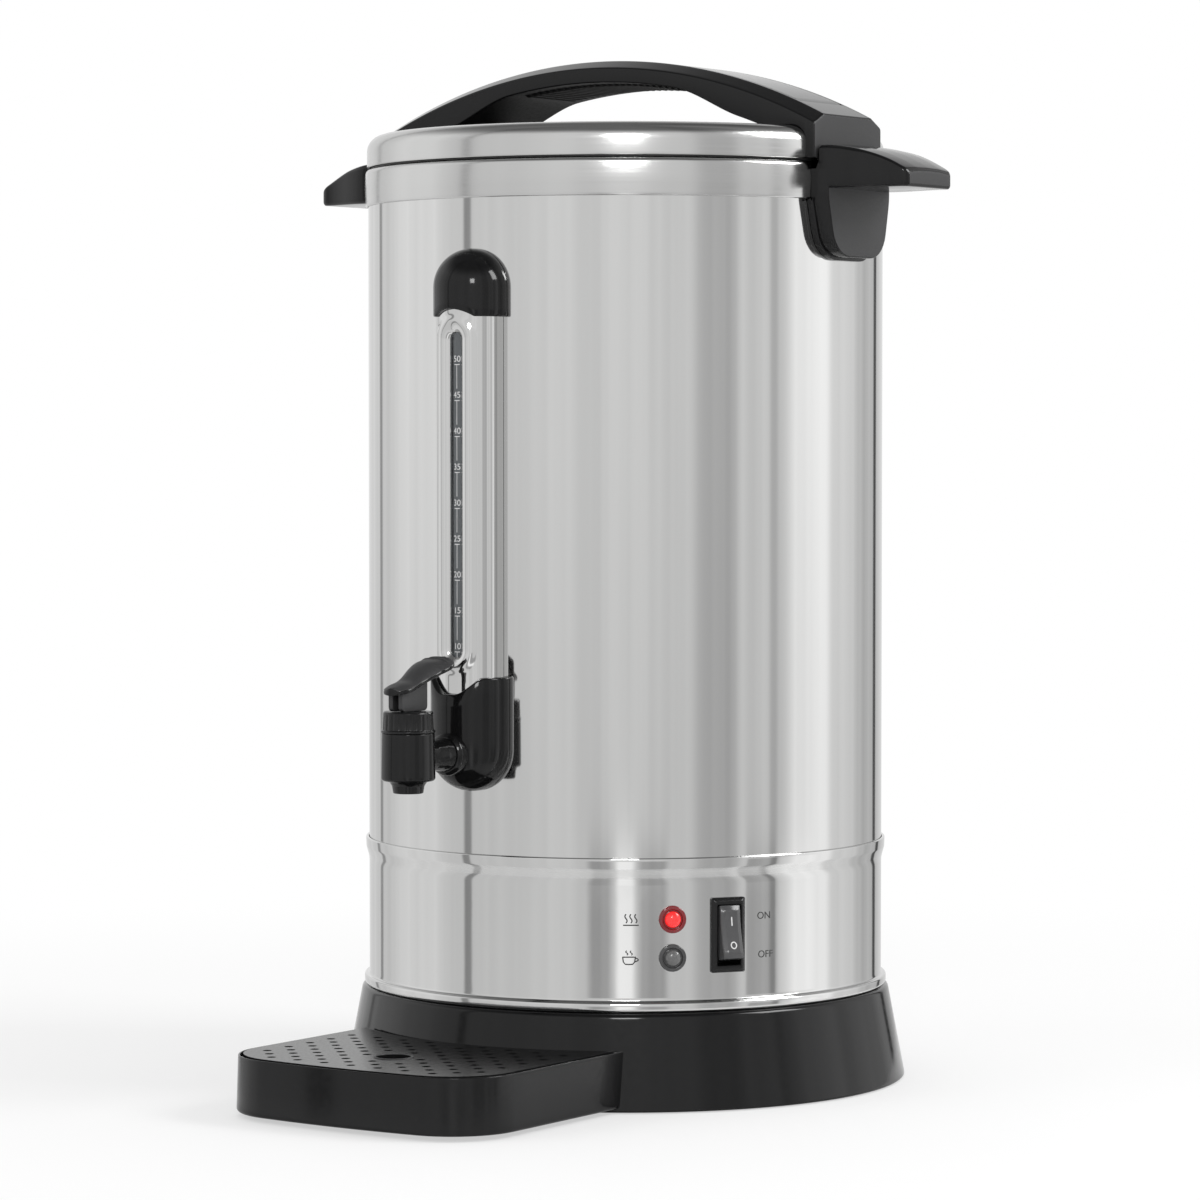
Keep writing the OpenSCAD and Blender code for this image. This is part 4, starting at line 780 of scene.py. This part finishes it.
# Skirt, with the tray's slot and the cord gland's seat cut through it
skirt_wall, skirt_lean, skirt_in = 2.5, 7.5, BODY_R - 6
skirt_r, skirt_top_r = skirt_high.x, skirt_high.x - skirt_lean
base_z, ledge_z = skirt_low.z, skirt_high.z
gland_z, gland_face = (gland_low.z + gland_high.z) / 2, gland_high.y - 3
gland_r, pad_r, pad_t = 6.1, 10, 8
skirt_ring = turned(rounded([
    (skirt_r - skirt_wall, base_z, 0.4), (skirt_r, base_z, 0.8), (skirt_top_r, ledge_z, 2.6),
    (skirt_in, ledge_z, 0.4), (skirt_in, ledge_z - skirt_wall, 0.4),
    (skirt_top_r - skirt_wall + 0.5, ledge_z - skirt_wall, 1)]), axis, 256)
skirt = piece("skirt_shell", [skirt_ring], "urn", gloss, ["base_skirt"])
pad = turned(rounded([(gland_r, gland_face - pad_t), (pad_r, gland_face - pad_t), (pad_r, gland_face, 0.6),
                      (gland_r, gland_face, 0.3)]), outward(math.pi, gland_z), 64)
piece("gland_pad", [pad], "urn", gloss)


def cut(target, part):
    """Takes a closed shape out of a piece."""
    tool = piece("cutter", [part], "urn", gloss)
    change = target.modifiers.new("cut", "BOOLEAN")
    change.object = tool
    change.solver = "EXACT"
    made = bpy.data.meshes.new_from_object(target.evaluated_get(bpy.context.evaluated_depsgraph_get()))
    made.set_sharp_from_angle(angle=math.radians(CREASE))
    target.modifiers.clear()
    target.data = made
    bpy.data.objects.remove(tool)


def band(half_width, low, high):
    return [(-half_width, low), (half_width, low), (half_width, high), (-half_width, high)]


cut_from, slot_to, bore_to = 100, 125, 130
slot_w, slot_floor, slot_ceiling = 44.4, 5.2, 9
cut(skirt, slab(band(slot_w, slot_floor, slot_ceiling), cut_from, slot_to, 0.01,
                lambda x, z, y: (x, -y, z), steps=1))
bore = gland_r - 0.05
cut(skirt, turned([(0.001, cut_from), (bore, cut_from), (bore, bore_to), (0.001, bore_to)],
                  outward(math.pi, gland_z), 48))

# Drip tray: rings round its wall, from the floor over the rim to the basin
tray_w, tray_front, bulge, corner, gap = tray_high.x, -tray_low.y, 400, 30, 1
tray_rim, tray_base = tray_high.z, tray_low.z


def tray_ring(drawn, z):
    """The tray's outline at one height, drawn in from its outside."""
    reach = skirt_r - skirt_lean * (z - base_z) / (ledge_z - base_z) + gap + drawn
    side = tray_w - drawn
    a = math.asin(side / reach)
    ring = []
    for k in range(41):
        b = a * (k / 20 - 1)
        ring.append((reach * math.sin(b), -reach * math.cos(b), z))
    centre, run, cx = bulge - tray_front, bulge - corner, tray_w - corner
    cy, turn = centre - math.sqrt(run ** 2 - cx ** 2), math.asin(cx / run)
    left = -reach * math.cos(a)
    edge = [(side, left + (cy - left) * k / 8) for k in range(1, 8)]
    for k in range(17):
        b = (turn - math.pi / 2) * k / 16
        edge.append((cx + (corner - drawn) * math.cos(b), cy + (corner - drawn) * math.sin(b)))
    for k in range(1, 12):
        b = turn * (1 - k / 12) - math.pi / 2
        edge.append(((bulge - drawn) * math.cos(b), centre + (bulge - drawn) * math.sin(b)))
    ring += [(x, y, z) for x, y in edge] + [(0, -tray_front + drawn, z)]
    return ring + [(-x, y, z) for x, y in reversed(edge)]


tray_wall, tray_floor, ledge = 2.4, tray_base + 2, tray_rim - 2.1
section = rounded([(8, tray_base), (0, tray_base, 1.4), (0.7, tray_rim, 0.6),
                   (tray_wall - 0.9, tray_rim, 0.4), (tray_wall - 0.9, ledge, 0.2), (tray_wall, ledge, 0.3),
                   (tray_wall, tray_floor, 1.2), (10, tray_floor)], closed=False)
shell = loft([tray_ring(d, z) for d, z in section], ends=True)
tongue_w, tongue_floor, tongue_ceiling = slot_w - 0.4, slot_floor + 0.4, slot_ceiling - 0.4
tray_tongue = slab(band(tongue_w, -skirt_r - 4, 16 - skirt_r), tongue_floor, tongue_ceiling, 0.5,
                   lambda x, y, z: (x, y, z))
piece("tray_pan", [shell, tray_tongue], "tray", gloss, ["drip_tray"])


# Lamps and switch on the casing
node_slot = {part["node"]: part["material_slot"] for part in frame["record"]["subparts"]}
LAMP_AZ, SWITCH_AZ = math.radians(44.2), math.radians(56.5)


def lamp(name, node, az, z, finishes):
    """A lamp with a flange and a domed lens, whose middle has the second finish."""
    face, tail = BODY_R + 0.1, BODY_R - 12.9
    lens_shape = turned(rounded([
        (4.9, tail), (4.9, face - 0.3), (5.65, face - 0.3), (5.65, face + 1.5, 0.6), (4.2, face + 1.7, 0.5),
        (3.9, face + 1.0, 0.3), (3.4, face + 1.1, 0.3), (3.0, face + 2.4, 0.6), (1.5, face + 3.3, 6),
        (0, face + 3.4), (0, tail)], closed=False), outward(az, z), 72, closed=True)
    s, c = math.sin(az), math.cos(az)

    def middle(at, n):
        out = at.x * s - at.y * c
        return int(math.hypot(at.x * c + at.y * s, at.z - z) < 3.35 and out > face + 0.5)

    piece(name, [lens_shape], "urn", finishes, [node], crease=60, pick=middle)


for name, node, finishes in (("lamp_red", "heating_lamp", [red_ring, red_glow]),
                             ("lamp_grey", "keep_warm_lamp", [grey_ring, grey_lens])):
    low, high = node_box(node)
    lamp(name, node, LAMP_AZ, (low.z + high.z) / 2, finishes)


def on_switch(u, v, n):
    """A point beside, above and out of the switch's middle on the casing."""
    s, c = math.sin(SWITCH_AZ), math.cos(SWITCH_AZ)
    return (BODY_R + n) * s + u * c, -(BODY_R + n) * c + u * s, switch_z + v


def oblong(w, h, soft):
    return rounded([(w, h, soft), (-w, h, soft), (-w, -h, soft), (w, -h, soft)])


bezel_w, bezel_h, bezel_out = 7.5, 15.35, 2.1
well_w, well_h = 5.2, 12.4
bezel_steps = [
    (bezel_w - 1.3, bezel_h - 1.3, -21, 0.4), (bezel_w - 1.3, bezel_h - 1.3, -0.4, 0.4),
    (bezel_w, bezel_h, -0.4, 0.8), (bezel_w, bezel_h, 0.7, 0.8), (bezel_w - 0.15, bezel_h - 0.15, 0.95, 0.8),
    (bezel_w - 1.5, bezel_h - 1.3, bezel_out - 0.1, 0.7), (bezel_w - 1.75, bezel_h - 1.6, bezel_out, 0.7),
    (well_w + 0.25, well_h + 0.25, bezel_out, 0.5), (well_w, well_h, bezel_out - 0.25, 0.4),
    (well_w, well_h, -10, 0.4)]
rings = [[on_switch(u, v, n) for u, v in oblong(w, h, soft)] for w, h, n, soft in bezel_steps]
piece("switch_frame", [loft(rings, ends=True)], "urn", pearl, ["switch_housing"], crease=25)
opening = oblong(bezel_w - 1.2, bezel_h - 1.2, 0.4)
cut(casing, loft([[on_switch(u, v, n) for u, v in opening] for n in (-6, 4)], ends=True))

pivot, tilt = bezel_out - 5, math.radians(12)
rocker_w, rocker_h, rocker_face, rocker_rise = 4.4, 10.9, 8.2, 1
bevel_x, bevel_y, bevel_drop = 1.8, 2.2, 1


def on_rocker(n, v, u):
    """A point of the rocker, drawn level, in its place with the upper half pressed in."""
    s, c = math.sin(tilt), math.cos(tilt)
    return on_switch(u, n * s + v * c, pivot + n * c - v * s)


def key_face(v):
    """The height of the rocker's hollow face along its length."""
    return rocker_face + rocker_rise * (v / rocker_h) ** 2


def key_ring(u, drop):
    """The rocker's outline across its width, with its face lowered by a drop."""
    reach = rocker_h - bevel_y
    face = [(key_face(reach * (1 - k / 6)) - drop, reach * (1 - k / 6)) for k in range(13)]
    edge, hem, foot = key_face(reach) - bevel_drop, 2, -3.5
    ring = [(edge, rocker_h)] + face + [(edge, -rocker_h), (hem, -rocker_h), (foot, -rocker_h / 2),
                                        (foot, rocker_h / 2), (hem, rocker_h)]
    return [on_rocker(n, v, u) for n, v in ring]


plateau = rocker_w - bevel_x
key = loft([key_ring(-rocker_w, bevel_drop), key_ring(-plateau, 0), key_ring(plateau, 0),
            key_ring(rocker_w, bevel_drop)], ends=True)
pin_r, pin_end = 1.4, 6
pins = turned([(0.001, -pin_end), (pin_r, -pin_end), (pin_r, pin_end), (0.001, pin_end)],
              lambda r, h, a: on_rocker(r * math.cos(a), r * math.sin(a), h), 32)
switch_key = piece("switch_key", [key, pins], "rocker", smoke, ["switch_rocker"], crease=25)
soft_edges = switch_key.modifiers.new("soft edges", "BEVEL")
soft_edges.width = 0.3 * MM
soft_edges.segments = 2


# Printed marks
INK, TEXT_GAP = 0.06, 0.02


def ribbon(path, width, wrap):
    """A thin printed line along (u, v) points, laid on a surface."""
    corners = ((1, 0), (1, INK), (-1, INK), (-1, 0))
    rings = []
    for i, (u, v) in enumerate(path):
        a, b = path[max(i - 1, 0)], path[min(i + 1, len(path) - 1)]
        across = Vector((a[1] - b[1], b[0] - a[0])).normalized() * width / 2
        rings.append([wrap(u + across.x * s, v + across.y * s, n) for s, n in corners])
    return loft(rings, ends=True)


def lettering(text, height, wrap):
    """Plain characters as a thin shape, centred and laid on a surface."""
    curve = bpy.data.curves.new("lettering", "FONT")
    curve.body = text
    curve.size = height / 0.7
    curve.align_x = "CENTER"
    curve.align_y = "CENTER"
    curve.extrude = INK / 2
    drawn = bpy.data.objects.new("lettering", curve)
    bpy.context.scene.collection.objects.link(drawn)
    mesh = bpy.data.meshes.new_from_object(drawn.evaluated_get(bpy.context.evaluated_depsgraph_get()))
    points = [wrap(v.co.x, v.co.y, v.co.z + INK / 2) for v in mesh.vertices]
    faces = [tuple(face.vertices) for face in mesh.polygons]
    bpy.data.objects.remove(drawn)
    bpy.data.meshes.remove(mesh)
    return points, faces


def on_casing(az, up):
    """Lays a mark on the casing, at an angle in degrees and a height above the switch's middle."""
    def wrap(u, v, n):
        a, r = math.radians(az) + u / BODY_R, BODY_R + TEXT_GAP + n
        return r * math.sin(a), -r * math.cos(a), switch_z + up + v
    return wrap


def on_tube(z):
    """Lays a mark on the front of the gauge tube, at a height."""
    tube_r, tube_y = tube_high.x, (tube_low.y + tube_high.y) / 2

    def wrap(u, v, n):
        a, r = u / tube_r, tube_r + TEXT_GAP + n
        return r * math.sin(a), tube_y - r * math.cos(a), z + v
    return wrap


first_cups, last_cups, cups_step = 10, 50, 5
scale_z, scale_step = slot_low + 4.4, 14.63
tick = [(0.26 * k, -2.2) for k in range(-5, 6)]
scale = []
for number in range(first_cups, last_cups + 1, cups_step):
    on_scale = on_tube(scale_z + (number - first_cups) / cups_step * scale_step)
    scale += [lettering(str(number), 2.5, on_scale), ribbon(tick, 0.3, on_scale),
              ribbon([(0, -2.3), (0, -7), (0, -12)], 0.22, on_scale)]
piece("gauge_scale", scale, "urn", print_white)

WORD_H, LINE_W = 2.9, 0.5
piece("mark_on", [lettering("ON", WORD_H, on_casing(65.3, 7))], "urn", print_black)
piece("mark_off", [lettering("OFF", WORD_H, on_casing(65.7, -8.9))], "urn", print_black)


def wave(u, low, high):
    return [(u + 0.45 * math.sin(2 * math.pi * k / 16), low + (high - low) * k / 16) for k in range(17)]


heat = on_casing(35.4, 7.3)
heat_lines = [wave(u, -1.7, 1.9) for u in (-2, 0, 2)] + [[(-3.2, -2.6), (0, -2.6), (3.2, -2.6)]]
piece("mark_heat", [ribbon(line, LINE_W, heat) for line in heat_lines], "urn", print_black)
warm = on_casing(35.0, -8.7)
cup = [(-2.6, 0.4), (-2.3, -1.6), (-1.5, -2.5), (0, -2.6), (1.5, -2.5), (2.3, -1.6), (2.6, 0.4)]
brim = [(-2.7, 0.4), (0, 0.4), (2.7, 0.4)]
ear = [(2.5 + 1.3 * math.sin(math.pi * k / 10), -1.5 + 1.6 * k / 10) for k in range(11)]
piece("mark_warm", [ribbon(cup, LINE_W, warm), ribbon(brim, LINE_W, warm), ribbon(ear, 0.45, warm),
                    ribbon(wave(-0.9, 1.2, 3), 0.4, warm), ribbon(wave(0.9, 1.2, 3), 0.4, warm)],
      "urn", print_black)


def on_key(u, v, n):
    return on_rocker(key_face(v) + 0.03 + n, v, u)


piece("mark_line", [ribbon([(0, 2.4), (0, 4.2), (0, 6)], LINE_W, on_key)], "rocker", print_white)
circle = [(1.15 * math.sin(math.pi * k / 16), -5.6 + 1.3 * math.cos(math.pi * k / 16)) for k in range(33)]
piece("mark_ring", [ribbon(circle, 0.45, on_key)], "rocker", print_white)

# A raised rim round the grate's finger hole
rim_in, rim_low, rim_top, finger_y = 7.02, grate_high.z - 0.3, grate_high.z + 0.35, tap_y - 10
rim = turned(rounded([(rim_in, rim_low), (8.4, rim_low), (8.1, rim_top, 0.3), (rim_in, rim_top, 0.3)]),
             upright(0, finger_y), 64)
piece("finger_rim", [rim], "grate", matte)

# Finishes of the CAD pieces that keep their own shape
by_slot = {
    "mirror_steel": mirror, "satin_steel": satin, "gloss_black": gloss, "matte_black": matte,
    "rocker_black": smoke, "foot_rubber": rubber, "silicone": silicone, "gauge_glass": glass,
    "red_lens": red_ring, "grey_lens": grey_lens, "cast_aluminium": cast, "element_steel": sheath,
    "sensor_plastic": phenolic, "zinc_steel": zinc, "ivory_plastic": ivory, "wire_skin": insulation}
by_node = {"drip_grate": pearl, "lever_pin": matte, "tank_floor": bath}
for node, shape in frame["nodes"].items():
    shape.data.materials.clear()
    shape.data.materials.append(by_node.get(node, by_slot[node_slot[node]]))


# Shader helpers for the floor and the world
def calc(tree, operation, *values):
    """A maths node, each of whose values is a number or a socket."""
    node = tree.nodes.new("ShaderNodeMath")
    node.operation = operation
    for socket, value in zip(node.inputs, values):
        if isinstance(value, (int, float)):
            socket.default_value = value
        else:
            tree.links.new(value, socket)
    return node.outputs[0]


def step(tree, value, low, high, first, last):
    """A soft step from the first level to the last."""
    node = tree.nodes.new("ShaderNodeMapRange")
    node.interpolation_type = "SMOOTHSTEP"
    for name, number in (("From Min", low), ("From Max", high), ("To Min", first), ("To Max", last)):
        node.inputs[name].default_value = number
    tree.links.new(value, node.inputs["Value"])
    return node.outputs["Result"]


def mix(tree, share, first, second):
    """The first shader, with a share of the second."""
    node = tree.nodes.new("ShaderNodeMixShader")
    for socket, value in zip(node.inputs, (share, first, second)):
        tree.links.new(value, socket)
    return node.outputs[0]


# Floor, which fades to plain white away from the urn
FLOOR_R, FLOOR_SIDES = 1.2, 96
floor_angles = [2 * math.pi * k / FLOOR_SIDES for k in range(FLOOR_SIDES)]
floor_mesh = bpy.data.meshes.new("floor")
floor_mesh.from_pydata([(FLOOR_R * math.sin(a), FLOOR_R * math.cos(a), 0) for a in floor_angles], [],
                       [tuple(range(FLOOR_SIDES))])
floor = bpy.data.objects.new("floor", floor_mesh)
bpy.context.scene.collection.objects.link(floor)
floor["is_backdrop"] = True
paper = bpy.data.materials.new("floor")
paper.use_nodes = True
floor_mesh.materials.append(paper)
ground = paper.node_tree
ground.nodes.remove(ground.nodes["Principled BSDF"])
matt = ground.nodes.new("ShaderNodeBsdfDiffuse")
matt.inputs["Color"].default_value = (0.9, 0.9, 0.9, 1)
white = ground.nodes.new("ShaderNodeEmission")
clear = ground.nodes.new("ShaderNodeBsdfTransparent")
spot = ground.nodes.new("ShaderNodeTexCoord")
reach = ground.nodes.new("ShaderNodeVectorMath")
reach.operation = "LENGTH"
ground.links.new(spot.outputs["Object"], reach.inputs[0])
away = reach.outputs["Value"]
rays = ground.nodes.new("ShaderNodeLightPath")
fade = calc(ground, "MULTIPLY", step(ground, away, 0.2, 0.75, 0.55, 1), rays.outputs["Is Camera Ray"])
faded = mix(ground, fade, matt.outputs[0], white.outputs[0])
# Shiny surfaces see only the floor close to the urn
hidden = calc(ground, "MULTIPLY", step(ground, away, 0.16, 0.34, 0, 1), rays.outputs["Is Glossy Ray"])
floor_look = mix(ground, hidden, faded, clear.outputs[0])
ground.links.new(floor_look, ground.nodes["Material Output"].inputs["Surface"])

# World: white to the camera, a studio of soft upright bands to shiny surfaces, even light to the rest
world = bpy.data.worlds.new("studio")
bpy.context.scene.world = world
world.use_nodes = True
sky = world.node_tree
place = sky.nodes.new("ShaderNodeTexCoord")
parts = sky.nodes.new("ShaderNodeSeparateXYZ")
sky.links.new(place.outputs["Generated"], parts.inputs[0])
heading = calc(sky, "ARCTAN2", parts.outputs["X"], calc(sky, "MULTIPLY", parts.outputs["Y"], -1))
height = parts.outputs["Z"]


def banded(level, bands):
    """Adds bands, each with its middle in degrees right of the camera, half width, soft edge and gain."""
    for middle, width, soft, gain in bands:
        off = calc(sky, "SUBTRACT", heading, VIEW_AZ + math.radians(middle))
        off = calc(sky, "ABSOLUTE", calc(sky, "WRAP", off, -math.pi, math.pi))
        edge, end = math.radians(width), math.radians(width + soft)
        level = calc(sky, "ADD", level, step(sky, off, edge, end, gain, 0))
    return level


def glow(strength):
    """A white background, with its strength a number or a socket."""
    node = sky.nodes.new("ShaderNodeBackground")
    node.inputs["Color"].default_value = (1, 1, 1, 1)
    if isinstance(strength, (int, float)):
        node.inputs["Strength"].default_value = strength
    else:
        sky.links.new(strength, node.inputs["Strength"])
    return node.outputs[0]


streaks = sky.nodes.new("ShaderNodeTexNoise")
streaks.noise_dimensions = "1D"
streaks.inputs["Scale"].default_value = 1
streaks.inputs["Detail"].default_value = 3
sky.links.new(calc(sky, "MULTIPLY", heading, 9), streaks.inputs["W"])
studio_bands = [
    (0, 5, 9, 0.07), (-32, 6, 8, 0.06), (41, 6, 7, -0.22), (69, 0.8, 2.5, -0.2), (90, 9, 7, 0.34),
    (106, 6, 16, 0.14), (142, 7, 16, -0.17), (149, 1.2, 2.4, -0.5), (-74, 1.2, 1.6, -0.45),
    (-106, 10, 16, 0.16), (-141, 0.8, 2, -0.42), (-172, 4, 8, 0.05)]
low_bands = [
    (0, 2.2, 3, 0.45), (-11, 3, 4, -0.3), (12, 4, 4, -0.3), (62.5, 7, 1, -0.24), (82, 8, 5, 0.14)]
level = banded(calc(sky, "ADD", 0.7, calc(sky, "MULTIPLY", streaks.outputs["Fac"], 0.18)), studio_bands)
level = calc(sky, "MULTIPLY", level, step(sky, height, -0.1, 0.04, 0.93, 1.03))
low_level = calc(sky, "MULTIPLY", banded(0, low_bands), step(sky, height, -0.103, -0.09, 1, 0))
level = calc(sky, "MULTIPLY", calc(sky, "ADD", level, low_level), step(sky, height, 0.45, 0.85, 1, 0.2))
seen = sky.nodes.new("ShaderNodeLightPath")
mirrored = calc(sky, "MAXIMUM", seen.outputs["Is Glossy Ray"], seen.outputs["Is Transmission Ray"])
lit = mix(sky, mirrored, glow(0.5), glow(level))
shown = mix(sky, seen.outputs["Is Camera Ray"], lit, glow(1))
sky.links.new(shown, sky.nodes["World Output"].inputs["Surface"])


def lamp_at(name, degrees, height, distance, size, power):
    """A soft square lamp that faces the urn, at an angle right of the camera."""
    light = bpy.data.lights.new(name, "AREA")
    light.size = size
    light.energy = power
    made = bpy.data.objects.new(name, light)
    a = VIEW_AZ + math.radians(degrees)
    made.location = (distance * math.sin(a), -distance * math.cos(a), height)
    made.rotation_mode = "QUATERNION"
    made.rotation_quaternion = (Vector((0, 0, 0.2)) - made.location).to_track_quat("-Z", "Y")
    bpy.context.scene.collection.objects.link(made)
    return made


lamp_at("key", 76, 1.35, 1.7, 0.8, 20)
lamp_at("front", 0, 1.0, 2.1, 0.45, 9)
lamp_at("fill", -70, 1.2, 1.9, 1.2, 9).visible_glossy = False
lamp_at("top", 170, 2.2, 0.5, 1.2, 10).visible_glossy = False

bpy.context.scene.view_settings.view_transform = "Standard"

low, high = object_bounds()
